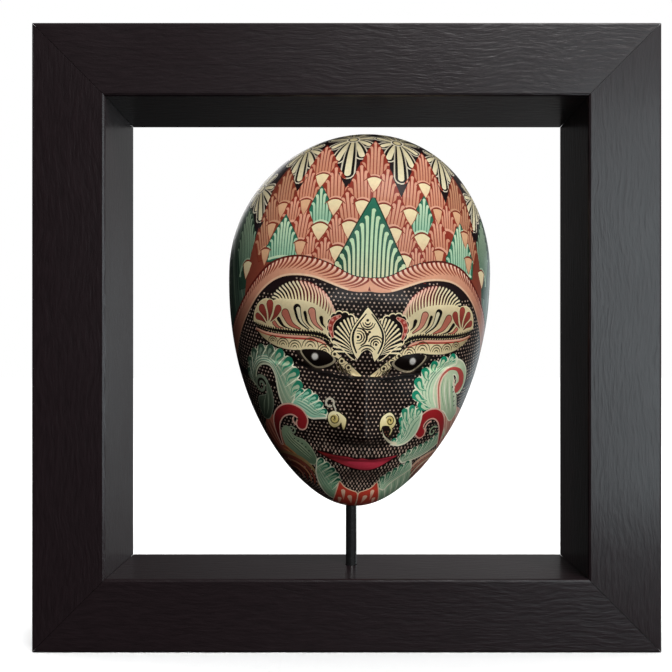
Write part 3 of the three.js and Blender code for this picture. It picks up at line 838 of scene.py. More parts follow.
def paint_right_cheek(paint):
    """The viewer's right cheek: an acanthus leaf that opens towards the eye, two red scrolls, and leaves at the jaw."""
    # salmon streaks at the jaw
    jaw = curve([(47, -70), (56, -68), (66, -72), (76, -80), (80, -92), (74, -104), (62, -100), (54, -92), (49, -82)],
                4, True)
    paint.add(jaw, "#cf9580", "#a8776a", ((50, -76), (76, -96)))
    streaks(paint, [(49, -72), (52, -80), (58, -90), (66, -100)],
            [(66, -72), (71, -80), (75, -88), (77, -96)], 11, 1.0, ("#b0604f", "#dfb9a2", "#c27f6b"))
    # the acanthus leaf that opens towards the eye, its pale body running down to the jaw
    body = curve([(31, -66), (33, -58), (37, -50), (43, -45), (50, -43.2), (56, -45), (60.2, -49.5), (61.0, -55),
                  (58.5, -59.8), (54.6, -60.2), (52.4, -57.2), (53.0, -53.4), (51.0, -50.6), (48.6, -50.6),
                  (50.0, -54), (52.4, -58.4), (55, -63), (57.4, -68), (60, -73), (55, -76), (46, -69), (38, -68)],
                 4, True)
    paint.lined(body, 0.7, "#e2e2c6", "#c5d2ad", "#9fb696", ((40, -55), (66, -70)))
    streaks(paint, [(42.4, -51), (41.6, -57), (43.4, -63), (47, -69)],
            [(49.4, -54), (51.8, -59), (54.4, -64.6), (58, -72)], 6, 0.8, ("#8fae8c", "#e4e6cf"))
    paint.spots([(50.0, -57.0), (51.4, -59.6), (52.8, -62.2), (54.0, -64.8), (55.2, -67.4)], 0.55, "#43594a")
    leaf_lobes(paint, [(32.6, -66.4), (28.4, -63.4), (26.2, -58.6), (27.6, -53.6), (31.4, -49.4), (37, -46),
                       (44, -43.6), (50, -42.6)],
               [(39, -67), (36.4, -62), (36, -56), (38.4, -51), (42, -48), (46, -46), (50, -45)],
               7, 1.8, "#c0d8b2", "#138a68", None, 3)
    hook = [(42.4, -68), (40.4, -62), (39.4, -55.6), (41.4, -50.6), (46, -47.8), (51.6, -48), (56, -51.2),
            (57, -55.4), (54.6, -57.8)]
    volute(paint, hook, [0.9, 1.0, 1.0, 1.1, 1.3, 2.0, 4.0, 5.6, 5.2], "#b34a45", "#c87866", "#ecd0b8")
    paint.stroke([(51.4, -52.6), (50.6, -55), (52, -57.6)], [0.4, 1.1, 0.7], "#ecd0b8")
    # the green strip under the red scroll, and the curled leaf beside the nostril
    leaf_lobes(paint, [(23, -94), (28, -90.5), (34, -88.6), (41, -86.4), (47, -83), (51, -80)],
               [(25, -96), (32, -95), (40, -93.4), (48, -90.4), (55, -86)], 8, 0.8, "#9fb594", "#2f6a50", None, 3)
    paint.add(ribbon(spiral((41.6, -80), 3.2, 1.1, 40, 1, 0.15), [0.9, 1.1, 0.7]), "#9aa98a")
    volute(paint, [(54, -95), (51.4, -87), (49, -79.4), (45.4, -73.4), (40.4, -70.2), (35, -70.6), (31.4, -74),
                   (31.2, -78), (33, -80)],
           [0.8, 2.4, 3.8, 4.4, 4.4, 4.6, 5.0, 4.8], "#a52429", "#8f2a2a")
    paint.stroke([(36.6, -79.4), (35.2, -77.6), (35.8, -75.2), (38, -73.8)], [0.4, 1.0, 0.8], PINK)
    leaf_lobes(paint, [(15.4, -84.6), (19.6, -82.2), (21, -77.6), (20, -73), (20.2, -69.6), (23, -67), (27, -67.6),
                       (30.4, -69.6)],
               [(20, -85.4), (24.4, -84.2), (28.4, -80.6), (30, -76.6), (30.4, -73), (30.4, -71.4)],
               7, 0.6, "#b3cfab", "#2c8a6a", None, 3)
    paint.stroke([(19, -85), (14.5, -83.6), (10.6, -80.4), (9, -76.6)], [1.5, 1.2, 0.5], "#e6dcbc")
    # the jaw scroll and the big pale leaf beside the chin
    scroll_rings(paint, (46.5, -111), 0.92, 195, -15, (
        (17, "#e2b296", 2.4), (13.8, "#c07a62", 2.4), (11.0, "#e8c8aa", 2.0),
        (8.4, "#a85a4a", 2.4), (5.6, "#d6a086", 1.8), (3.2, "#5f2a22", 2.2)))
    tail = curve([(14, -112), (18, -106), (25, -101.4), (31, -99), (35, -108), (36, -120), (28, -134), (18, -132),
                  (15, -122)], 4, True)
    paint.add(tail, "#adc6a3", "#7d9a7b", ((24, -106), (28, -132)))
    streaks(paint, [(15.5, -112), (16.4, -118), (18, -124), (20, -131)],
            [(31, -102), (33, -110), (33, -118), (31, -128)], 9, 0.8, ("#7fa284", "#dde3c8"))
    leaf_lobes(paint, [(12.4, -111.6), (13.6, -107.2), (17.4, -103.4), (22.4, -100.6), (31, -96.8)],
               [(17, -115), (20, -110.6), (24.4, -107), (29, -104.4), (33, -102)],
               6, 1.0, "#a9c9a4", "#226a4e", None, 3)


def paint_nostrils(paint):
    """A cream scroll on each wing of the nose: a hooked one under a ring, and a round one with a tail."""
    hooked = [(-0.4, 3.8), (1.6, 3.2), (4.5, 0.9), (4.4, -1.8), (3.4, -4.6), (2.6, -2.8), (2.2, -1.2), (0.9, -2.9),
              (-1.3, -3.9), (-3.4, -2.6), (-4.5, 0.3), (-3.9, 2.6), (-1.9, 3.9)]
    rounded = [(0.6, 3.8), (-2.3, 2.6), (-4.2, 0.3), (-4.5, -2.3), (-4.1, -4.8), (-3.3, -2.7), (-1.5, -2.2),
               (0.6, -2.6), (2.3, -3.9), (3.8, -2.6), (4.5, -0.6), (3.5, 1.6), (2.3, 3.2)]
    for outline, (x, y), eye, start, way in ((hooked, (-14.3, -72.9), (-1.3, 0.2), 60, -1),
                                             (rounded, (12.1, -72.8), (1.1, -0.2), 150, -1)):
        shape = curve(np.array(outline) + (x, y), 3, True)
        hub = np.array([x, y]) + eye
        paint.lined(shape, 0.4, "#2b2413", "#e6dbae", "#cbb97e", ((x, y + 3), (x, y - 4)))
        paint.add(disc(hub, 2.1, 12), "#c2ae68")
        paint.add(ribbon(spiral(hub, 2.7, 1.5, start, way, 0.15), [0.5, 0.6, 0.45]), "#4e4120")
        paint.add(disc(hub + (0.3, 0.4), 0.5, 7), "#3a2f16")
    # painted shade: a near-black patch with four dimmed dots under the right nostril's wing, where the carving has no
    # opening
    nostril_shade = [(8.7, -75.5), (12.0, -75.5), (15.4, -76.8), (16.6, -78.8), (13.4, -81.6), (10.2, -79.6)]
    paint.add(curve(nostril_shade, 4, True), "#170d0b")
    paint.spots([(10.6, -78.2), (11.6, -79.6), (12.4, -78.0), (13.0, -80.6)], 0.4, "#7a4a3c", 6)
    paint.stroke([(13.2, -75.8), (14.6, -77.4), (13.8, -79.6)], [0.5, 1.0, 0.7], "#d9c98f")
    paint.add(ribbon(spiral((-17.8, -65.0), 2.2, 0.92, 330, 1, 0.8), [1.0, 1.1, 0.9]), "#bdb5a2")
    paint.stroke([(-15.8, -66.0), (-15.0, -67.6), (-14.7, -69.2)], [0.9, 0.7], "#bdb5a2", steps=3)


def paint_mouth(paint):
    """Closed red lips, with a painted highlight in the middle of the lower one."""
    upper = [(-25, -90.4), (-15, -91.6), (-8, -92), (-3, -93), (0, -92.4), (5, -93.2), (11, -92.6), (20.5, -91.4)]
    lower = [(20.5, -91.4), (14, -95.4), (8.5, -98), (3, -99.2), (-3, -98.4), (-10, -96.6), (-18, -93.6),
             (-25, -90.4)]
    lips = np.vstack([curve(upper, 4), curve(lower, 4)[1:-1]])
    paint.lined(lips, 0.5, "#3a0d10", "#74221f", "#ac2f3f", ((-22, -92), (3, -95)))
    # painted highlight: a lighter patch on the lower lip
    sheen = curve([(-8, -94.8), (0, -94.6), (8, -95.0), (13, -94.6), (8, -96.4), (1, -97.2), (-5, -96.2)], 3, True)
    paint.add(sheen, "#b53346", "#a5283a", ((2, -94), (2, -97)))


def paint_chin(paint):
    """Two red lobes that meet in a V under the lips, with salmon drops."""
    for side in (-1, 1):
        at = lambda points: sided(points, side)
        top = curve(at([(0.4, -118), (1.2, -115.4), (4.4, -114.2), (8.6, -112.2), (11.6, -108.4)]), 3)
        outer = curve(at([(11.6, -108.4), (13, -114), (14.4, -121), (15.6, -132), (14, -146)]), 3)
        lobe = np.vstack([top, outer[1:], at([(0.4, -148)])])
        paint.lined(lobe, 0.75, "#e3c3a4", "#c8402f", "#9c3e2f", ((0, -118), (0, -140)))
        drops = (((3.2, -128), (5.0, -119.4), 1.5), ((8.8, -124), (9.4, -115), 1.3),
                 ((11.6, -132), (11.4, -122.5), 1.2), ((5.5, -140), (7.2, -131), 1.4))
        for tail, head, radius in drops:
            paint.add(drop(*at([tail, head]), radius), "#df8468", "#f0c6a8", at([tail, head]))


ROW_SPACING = 0.84                      # of the dots' pitch
DOT_ROWS, DOT_REACH = (-141, -2), 92    # where the rows lie, and how far to both sides
DOT_SEED, UNEVEN, PALE_SHARE = 11, 0.09, 0.7
BARE_SIDES, BARE_ABOVE = (35, 54), -14  # the bare black strips over the brows
BROAD_PATCH = 12                        # patches larger than this keep the dots away


def ground_dots(paint, pitch, radius, covered):
    """Rows of small pale dots on the black ground, uneven as a wax pen leaves them, where nothing covers them."""
    rng = np.random.default_rng(DOT_SEED)
    places = []
    for n, q in enumerate(np.arange(*DOT_ROWS, ROW_SPACING * pitch)):
        p = np.arange(-DOT_REACH, DOT_REACH, pitch) + (0.5 * pitch if n % 2 else 0)
        places.append(np.stack([p, q + 0.0012 * p ** 2 * (1 if q > -60 else 0.4)], -1))
    places = np.vstack(places) + rng.normal(0, UNEVEN, (sum(len(row) for row in places), 2))
    _, _, share = shares(places[:, 0], places[:, 1])
    keep = share < 0.97
    for side in (-1, 1):
        _, lower = band_curves(side)
        half = (places[:, 0] * side) >= 0
        limit = np.interp(np.abs(places[:, 0]), np.abs(lower[:, 0]), lower[:, 1])
        keep &= ~half | (places[:, 1] < limit - 1.0)
    aside = np.abs(places[:, 0])
    keep &= ~((aside > BARE_SIDES[0]) & (aside < BARE_SIDES[1]) & (places[:, 1] > BARE_ABOVE))
    for outline in covered:
        near = keep & np.all((places > outline.min(0)) & (places < outline.max(0)), axis=1)
        index = np.nonzero(near)[0]
        keep[index[inside(places[index], outline)]] = False
    for place in places[keep]:
        size = radius * rng.uniform(0.8, 1.12)
        shade = DOT if rng.random() < PALE_SHARE else "#978375"
        tall = 1.0 + 0.9 * float(smooth(-place[1], 80, 90))
        paint.add(disc(place, size, 6, tall), shade)


CROWN_GROUND = [(-104, -40), (-104, 60), (-60, 100), (0, 108), (60, 100), (104, 60), (104, -40), (60, -16), (0, -10),
                (-60, -16)]
TEMPLE = [(60, 10), (58, -4), (64, -12), (74, -22), (86, -34), (100, -30), (104, 0), (98, 22), (88, 30), (76, 36),
          (66, 28)]
SINGLE_FIGURES = (paint_left_cheek, paint_right_cheek, paint_nostrils, paint_mouth, paint_chin)


def batik(settings):
    """The whole painting, from the ground up."""
    cover = Painting()
    for draw in (*SINGLE_FIGURES, paint_central_leaf):
        draw(cover)
    for side in (-1, 1):
        for draw in (paint_brow, paint_lid, paint_eye):
            draw(cover, side)
    covered = [outline for outline in cover.outlines if abs(area(outline)) > BROAD_PATCH]

    paint = Painting()
    paint.add(curve(CROWN_GROUND, 3, True), GROUND)
    for side in (-1, 1):
        at = lambda points: sided(points, side)
        paint.add(curve(at(TEMPLE), 4, True), "#4c6151", "#2c3b31", at([(64, 0), (96, 0)]))
        for k in range(9):
            line = at([(62 + 3.8 * k, -10 - 3.4 * k), (66 + 3.6 * k, 4 - 1.6 * k), (72 + 2.8 * k, 30 - 1.2 * k)])
            paint.stroke(line, [0.4, 1.0, 0.3], "#1b2a22" if k % 2 else "#7d8f78")
        feather(paint, *at([(66, 2), (71, 32)]), 8.0, 5, TEMPLE_FEATHER, 6.0)
    ground_dots(paint, settings.dot_pitch / MM, settings.dot_radius / MM, covered)
    paint_petals(paint)
    paint_feathers(paint)
    for side in (-1, 1):
        shield(paint, sided([(65.5, 1.5)], side)[0], 3.4, 9.0, 1.5 * side)
    paint_green_triangle(paint)
    paint_band(paint)
    # the brows, the painted shadow of the crease, the lids and the eyes
    for side in (-1, 1):
        for draw in (paint_brow, paint_crease_shadow, paint_lid, paint_eye):
            draw(paint, side)
    for draw in (paint_central_leaf, *SINGLE_FIGURES):
        draw(paint)
    return paint


# From the painting to one closed mesh

TILE, TILE_MARGIN = 30.0, 2.0       # the painting is cut tile by tile, each with a margin of its neighbours
RIM_POINTS, HOLE_POINTS = 240, 20
NET_STEP = 1.6                      # between the points of the hollow
RIM_RINGS = (PAINT_LIMIT, 1.011, 1.0, 0.985)
HOLLOW_RINGS = (1.0, 1.0, 0.995, 0.98)      # the first one lies 1 mm out on the back edge
UP_STEP = 0.87                      # between the rows of an even net of triangles
UV_SPAN = 200                       # millimetres of the drawing plane in its UV map
# Loose points that carry the form: their spacing and the region's corners
POINT_NETS = ((2.9, None), (1.3, ((-30, -104), (30, -44))), (1.25, ((-50, -54), (50, -42))))


def clip(outline, low, high):
    """An outline cut to a box."""
    for axis, bound, sign in ((0, low[0], 1), (0, high[0], -1), (1, low[1], 1), (1, high[1], -1)):
        if len(outline) == 0:
            return outline
        ahead = np.roll(outline, -1, 0)
        here_in = sign * (outline[:, axis] - bound) >= 0
        there_in = sign * (ahead[:, axis] - bound) >= 0
        kept = []
        for a, b, a_in, b_in in zip(outline, ahead, here_in, there_in):
            if a_in:
                kept.append(a)
            if a_in != b_in:
                kept.append(a + (b - a) * (bound - a[axis]) / (b[axis] - a[axis]))
        outline = np.array(kept)
    return outline


def steiner_points():
    """Loose points that carry the form: close where the carving is sharp, wider elsewhere."""
    sets = []
    for step, region in POINT_NETS:
        p, q = np.meshgrid(np.arange(-100, 100, step), np.arange(-146, 104, step * UP_STEP))
        p[1::2] += step / 2
        points = np.stack([p.ravel(), q.ravel()], -1)
        if region:
            points = points[np.all((points > region[0]) & (points < region[1]), axis=1)]
        sets.append(points)
    points = np.vstack(sets)
    _, _, share = shares(points[:, 0], points[:, 1])
    return points[share < PAINT_EDGE - 0.012]


def rim_outline(share):
    """The outline in the drawing plane at a share of its reach."""
    turn = np.linspace(0, 2 * math.pi, RIM_POINTS, endpoint=False)
    across, up = share * np.cos(turn), share * np.sin(turn)
    q = up * np.where(up > 0, CROWN_REACH * ROLL_UP, CHIN_REACH * ROLL_DOWN)
    p = across * HALF_WIDTH * ROLL_ACROSS * (1 - CHIN_TAPER * np.clip(-up, 0, 1) ** CHIN_TAPER_POWER)
    return np.stack([p, q], -1)


def rod_hole():
    """The rod's hole in the drawing plane, found where the rod's wall meets the surface."""
    wanted = disc((ROD_X, ROD_Y), ROD_RADIUS + ROD_CLEARANCE, HOLE_POINTS)
    place = np.tile([0.0, -CHIN_REACH * ROLL_DOWN + 6], (len(wanted), 1))
    for _ in range(40):
        here = front_surface(place[:, 0], place[:, 1])[:, :2]
        step_p = (front_surface(place[:, 0] + 0.01, place[:, 1])[:, :2] - here) / 0.01
        step_q = (front_surface(place[:, 0], place[:, 1] + 0.01)[:, :2] - here) / 0.01
        slopes = np.stack([step_p, step_q], -1)
        place += np.clip(np.linalg.solve(slopes, (wanted - here)[..., None])[..., 0], -1, 1)
    return place


def cut_into_triangles(paint):
    """Triangles of the drawing plane, each inside one patch of paint: places, triangles and patches."""
    whole, rings = rim_outline(PAINT_EDGE), [rim_outline(share) for share in RIM_RINGS]
    hole = rod_hole()
    outlines = paint.outlines + [hole if area(hole) > 0 else hole[::-1]]
    boxes = np.array([[*o.min(0), *o.max(0)] for o in outlines])
    loose = steiner_points()
    places, triangles, patches = [], [], []
    count = 0
    ends = zip(whole.min(0) - 1, whole.max(0) + 1)
    steps = [np.linspace(low, high, int(np.ceil((high - low) / TILE)) + 1) for low, high in ends]
    for left, right in zip(steps[0][:-1], steps[0][1:]):
        for bottom, top in zip(steps[1][:-1], steps[1][1:]):
            low, high = np.array([left, bottom]), np.array([right, top])
            wide_low, wide_high = low - TILE_MARGIN, high + TILE_MARGIN
            near = np.nonzero(np.all((boxes[:, :2] < wide_high) & (boxes[:, 2:] > wide_low), axis=1))[0]
            domain = clip(whole, wide_low, wide_high)
            if len(domain) < 3:
                continue
            tile = divided(np.array([low, (right, bottom), high, (left, top)]), LONGEST_EDGE)
            verts, faces, names = [], [], []

            def put(outline):
                faces.append(list(range(len(verts), len(verts) + len(outline))))
                verts.extend(outline)

            put(domain)
            put(tile)
            for ring in rings:
                within = clip(ring, wide_low, wide_high)
                if len(within) >= 3:
                    names.append(-1)
                    put(within)
            for n in near:
                part = clip(outlines[n], wide_low, wide_high)
                if len(part) >= 3 and abs(area(part)) > 1e-4:
                    names.append(n)
                    put(part)
            inner = loose[np.all((loose > low + 0.15) & (loose < high - 0.15), axis=1)]
            verts.extend(inner)
            result = delaunay_2d_cdt([Vector(v) for v in verts], [], faces, 0, 1e-5, True)
            out = np.array([tuple(v) for v in result[0]])
            for triangle, origin in zip(result[2], result[5]):
                if 0 in origin and 1 in origin:
                    n = names[max(origin) - 2] if max(origin) > 1 else -1
                    if n == len(outlines) - 1:
                        continue
                    triangles.append([t + count for t in triangle])
                    patches.append(n)
            places.append(out)
            count += len(out)
    return weld(np.vstack(places), np.array(triangles), np.array(patches), steps)


def weld(places, triangles, patches, steps):
    """Joins the tiles along their shared edges and drops what no triangle uses."""
    on_edge = np.zeros(len(places), bool)
    for axis in (0, 1):
        for line in steps[axis]:
            on_edge |= np.abs(places[:, axis] - line) < 1e-3
    edge = np.nonzero(on_edge)[0]
    tree = kdtree.KDTree(len(edge))
    for k, n in enumerate(edge):
        tree.insert((*places[n], 0), k)
    tree.balance()
    target = np.arange(len(places))
    for k, n in enumerate(edge):
        if target[n] == n:
            for _, other, _ in tree.find_range((*places[n], 0), 0.004):
                if edge[other] > n:
                    target[edge[other]] = n
    triangles = target[triangles]
    a, b, c = triangles.T
    flat = (a == b) | (b == c) | (a == c)
    triangles, patches = triangles[~flat], patches[~flat]
    used, renamed = np.unique(triangles, return_inverse=True)
    return places[used], renamed.reshape(-1, 3), patches


def open_loops(triangles):
    """The loops of edges that only one triangle has, each in that triangle's order."""
    edges = np.vstack([triangles[:, [0, 1]], triangles[:, [1, 2]], triangles[:, [2, 0]]])
    there = {tuple(e) for e in edges.tolist()}
    ahead = {a: b for a, b in there if (b, a) not in there}
    loops = []
    while ahead:
        start = next(iter(ahead))
        loop = [start]
        while ahead.get(loop[-1]) is not None:
            follow = ahead.pop(loop[-1])
            if follow == start:
                break
            loop.append(follow)
        loops.append(loop)
    return sorted(loops, key=len, reverse=True)


def mask_mesh(settings):
    """The mask as one closed mesh: the painted front, the rim, the gouged hollow and the rod's hole."""
    paint = batik(settings)
    places, triangles, patches = cut_into_triangles(paint)
    turned = triangles[:, [0, 2, 1]] if signed(places, triangles[0]) < 0 else triangles
    front = front_surface(places[:, 0], places[:, 1])
    step = 0.05
    across = front_surface(places[:, 0] + step, places[:, 1]) - front_surface(places[:, 0] - step, places[:, 1])
    up = front_surface(places[:, 0], places[:, 1] + step) - front_surface(places[:, 0], places[:, 1] - step)
    smooth_normals = np.cross(across, up)
    smooth_normals /= np.linalg.norm(smooth_normals, axis=1)[:, None]

    loops = open_loops(turned)
    outer, hole = loops[0], loops[1]
    points = [front]
    faces = [turned]
    count = len(front)

    # the hollow's rings start at the back edge and end in a point
    a, b, _ = shares(places[outer, 0], places[outer, 1])
    angle = np.arctan2(b, a)
    before = np.array(outer)
    size = len(outer)
    for n, share in enumerate(HOLLOW_RINGS):
        ring = hollow_surface(angle, share)
        if n == 0:
            out = front[outer] - ring
            ring = ring + out / np.linalg.norm(out, axis=1)[:, None]
        points.append(ring)
        here = np.arange(count, count + size)
        count += size
        follow, follow_before = np.roll(here, -1), np.roll(before, -1)
        faces += [np.stack([follow_before, before, here], -1), np.stack([follow_before, here, follow], -1)]
        before = here
    disc_places, inner_faces = hollow_net(share * rays(angle))
    turn, reach = np.arctan2(disc_places[:, 1], disc_places[:, 0]), np.hypot(*disc_places.T)
    points.append(hollow_surface(turn[size:], reach[size:]))
    inner_faces += count - size
    gouged = (count, count + len(disc_places) - size, reach[size:])
    count = gouged[1]
    faces.append(inner_faces)

    # the blind hole goes straight up from its mouth
    mouth = np.array(hole)
    roof = front[mouth].copy()
    roof[:, 2] = CHIN_PLACE[2] + ROD_IN_CHIN + ROD_CLEARANCE
    points += [roof, roof.mean(0)[None]]
    here = np.arange(count, count + len(mouth))
    follow, follow_mouth = np.roll(here, -1), np.roll(mouth, -1)
    faces += [np.stack([follow_mouth, mouth, here], -1), np.stack([follow_mouth, here, follow], -1),
              np.stack([follow, here, np.full(len(mouth), count + len(mouth))], -1)]

    mesh = mesh_of("mask", np.vstack(points) * MM, np.vstack(faces))
    give_attributes(mesh, paint, places[turned], patches, gouged)
    return mesh, smooth_normals


def mesh_of(name, vertices, faces):
    """A mesh from arrays of its points and triangles."""
    mesh = bpy.data.meshes.new(name)
    mesh.vertices.add(len(vertices))
    mesh.vertices.foreach_set("co", vertices.astype(np.float32).ravel())
    mesh.loops.add(3 * len(faces))
    mesh.loops.foreach_set("vertex_index", faces.astype(np.int32).ravel())
    mesh.polygons.add(len(faces))
    mesh.polygons.foreach_set("loop_start", np.arange(0, 3 * len(faces), 3, dtype=np.int32))
    mesh.update(calc_edges=True)
    return mesh


def give_attributes(mesh, paint, corners, patches, gouged):
    """The mesh's paint, its places in the drawing plane, which faces are bare wood, and where the gouge cut."""
    count, front_count = len(mesh.polygons), len(corners)
    # ground where no patch lies
    colour = np.tile(linear(INK), (count, 3, 1))
    index = np.nonzero(patches >= 0)[0]
    colour[index] = paint.colour_at(np.repeat(patches[index][:, None], 3, 1), corners[index])
    rgba = np.ones((count * 3, 4), np.float32)
    rgba[:, :3] = colour.reshape(-1, 3)
    mesh.color_attributes.new("Paint", "FLOAT_COLOR", "CORNER").data.foreach_set("color", rgba.ravel())
    uv = np.zeros((count, 3, 2), np.float32)
    uv[:front_count] = corners / UV_SPAN + 0.5
    mesh.uv_layers.new(name="Plane").data.foreach_set("uv", uv.ravel())
    # the back edge and the hollow are wood
    middles = corners.mean(1)
    _, _, share = shares(middles[:, 0], middles[:, 1])
    wood = np.ones(count, bool)
    wood[:front_count] = share > PAINT_LIMIT
    mesh.attributes.new("Wooden", "BOOLEAN", "FACE").data.foreach_set("value", wood)
    first, end, reach = gouged
    depth = np.zeros(len(mesh.vertices), np.float32)
    depth[first:end] = smooth(-reach, -0.95, -0.88)
    mesh.attributes.new("Gouged", "FLOAT", "POINT").data.foreach_set("value", depth)
    mesh.polygons.foreach_set("use_smooth", np.ones(count, bool))
    mesh.update()


def hollow_net(ring):
    """An even net of triangles inside a ring of the hollow's disc: the ring's points, then the others."""
    scale = np.array([HALF_WIDTH, (CROWN_REACH + CHIN_REACH) / 2])
    x, y = np.meshgrid(np.arange(-HALF_WIDTH, HALF_WIDTH, NET_STEP), np.arange(-100, 100, NET_STEP * UP_STEP))
    x[1::2] += NET_STEP / 2
    loose = np.stack([x.ravel(), y.ravel()], -1) / scale
    loose = loose[np.hypot(*loose.T) < HOLLOW_RINGS[-1] - 0.8 * NET_STEP / HALF_WIDTH]
    outline = list(range(len(ring)))
    result = delaunay_2d_cdt([Vector(v) for v in np.vstack([ring, loose]) * scale], [], [outline], 1, 1e-6, True)
    origin = np.array([names[0] for names in result[3]])
    triangles = origin[np.array(result[2])]
    backwards = signed(np.vstack([ring, loose]), triangles[0]) > 0
    return np.vstack([ring, loose]), triangles[:, ::-1] if backwards else triangles


def gouge_marks():
    """Geometry Nodes: scallops as a gouge leaves them, long along the grain, that meet in low ridges."""
    tree = bpy.data.node_groups.new("gouge_marks", "GeometryNodeTree")
    made = {}
    for name, kind, value in (
            ("Geometry", "Geometry", None), ("Gouge width", "Float", 7.5 * MM), ("Gouge length", "Float", 17 * MM),
            ("Ridge height", "Float", 4.2 * MM), ("Seed", "Float", 4.0),
            ("Paint", "Material", None), ("Wood", "Material", None)):
        made[name] = tree.interface.new_socket(name, in_out="INPUT", socket_type="NodeSocket" + kind)
        if value is not None:
            made[name].default_value = value
    tree.interface.new_socket("Geometry", in_out="OUTPUT", socket_type="NodeSocketGeometry")
    given = node(tree, "NodeGroupInput").outputs
    size = node(tree, "ShaderNodeCombineXYZ", i0=given["Gouge width"], i1=given["Gouge width"],
                i2=given["Gouge length"])
    here = node(tree, "GeometryNodeInputPosition")
    place = node(tree, "ShaderNodeVectorMath", {"operation": "DIVIDE"}, i0=here.outputs[0], i1=size.outputs[0])
    cells = node(tree, "ShaderNodeTexVoronoi", {"voronoi_dimensions": "4D"}, Vector=place.outputs[0], W=given["Seed"],
                 Scale=1.0)
    scallop = node(tree, "ShaderNodeMath", {"operation": "POWER"}, i0=cells.outputs["Distance"], i1=2.0)
    height = node(tree, "ShaderNodeMath", {"operation": "MULTIPLY"}, i0=scallop.outputs[0], i1=given["Ridge height"])
    weight = node(tree, "GeometryNodeInputNamedAttribute", {"data_type": "FLOAT"}, Name="Gouged")
    rise = node(tree, "ShaderNodeMath", {"operation": "MULTIPLY"}, i0=height.outputs[0],
                i1=weight.outputs["Attribute"])
    inwards = node(tree, "GeometryNodeInputNormal")
    move = node(tree, "ShaderNodeVectorMath", {"operation": "SCALE"}, i0=inwards.outputs[0], Scale=rise.outputs[0])
    carved = node(tree, "GeometryNodeSetPosition", Geometry=given["Geometry"], Offset=move.outputs[0])
    wooden = node(tree, "GeometryNodeInputNamedAttribute", {"data_type": "BOOLEAN"}, Name="Wooden")
    whole = node(tree, "GeometryNodeRealizeInstances", Geometry=carved.outputs[0])
    painted = node(tree, "GeometryNodeSetMaterial", Geometry=whole.outputs[0], Material=given["Paint"])
    finished = node(tree, "GeometryNodeSetMaterial", Geometry=painted.outputs[0],
                    Selection=wooden.outputs["Attribute"], Material=given["Wood"])
    node(tree, "NodeGroupOutput", i0=finished.outputs[0])
    return tree, {name: socket.identifier for name, socket in made.items()}


def signed(places, triangle):
    """Twice the area of a triangle, negative when it runs clockwise."""
    a, b, c = places[triangle]
    return (b - a)[0] * (c - a)[1] - (b - a)[1] * (c - a)[0]


# Materials

def node(tree, kind, settings=None, **inputs):
    """Adds a node, with its settings, and sets or links its inputs."""
    made = tree.nodes.new(kind)
    for name, value in (settings or {}).items():
        setattr(made, name, value)
    return wire(tree, made, **inputs)


def wire(tree, made, **inputs):
    """Gives a node's inputs their values, or links them to a socket: by name, or by number as i0, i1."""
    for name, value in inputs.items():
        socket = made.inputs[int(name[1:]) if name[0] == "i" and name[1:].isdigit() else name.replace("_", " ")]
        if isinstance(value, bpy.types.NodeSocket):
            tree.links.new(value, socket)
        else:
            socket.default_value = value
    return made


def new_material(name):
    """A material with its Principled shader, and its own coordinates in space."""
    material = bpy.data.materials.new(name)
    material.use_nodes = True
    tree = material.node_tree
    tree.nodes.clear()
    shader = node(tree, "ShaderNodeBsdfPrincipled")
    node(tree, "ShaderNodeOutputMaterial", i0=shader.outputs[0])
    return material, tree, shader, node(tree, "ShaderNodeTexCoord").outputs["Object"]


def batik_paint_on_wood():
    """Batik paint under satin lacquer: the colours lie in fine brush marks, with soft bright edges of gloss."""
    material, tree, shader, place = new_material("batik_paint_under_satin_lacquer")
    paint = node(tree, "ShaderNodeAttribute", {"attribute_name": "Paint"})
    fine = node(tree, "ShaderNodeTexNoise", Vector=place, Scale=1 / (1.6 * MM), Detail=4.0, Roughness=0.6)
    broad = node(tree, "ShaderNodeTexNoise", Vector=place, Scale=1 / (22 * MM), Detail=2.0)
    tone = node(tree, "ShaderNodeMapRange", Value=fine.outputs["Fac"], To_Min=0.84, To_Max=1.14)
    tone_broad = node(tree, "ShaderNodeMapRange", Value=broad.outputs["Fac"], To_Min=0.86, To_Max=1.12)
    both = node(tree, "ShaderNodeMath", {"operation": "MULTIPLY"}, i0=tone.outputs[0], i1=tone_broad.outputs[0])
    shaded = node(tree, "ShaderNodeVectorMath", {"operation": "SCALE"}, i0=paint.outputs["Color"],
                  Scale=both.outputs[0])
    gloss = node(tree, "ShaderNodeMapRange", Value=broad.outputs["Fac"], To_Min=0.34, To_Max=0.46)
    bump = node(tree, "ShaderNodeBump", Height=fine.outputs["Fac"], Strength=0.25, Distance=0.08 * MM)
    wire(tree, shader, Base_Color=shaded.outputs[0], Roughness=gloss.outputs[0], Normal=bump.outputs[0], IOR=1.45,
         Specular_IOR_Level=0.1, Coat_Weight=0.06, Coat_Roughness=0.1)
    return material


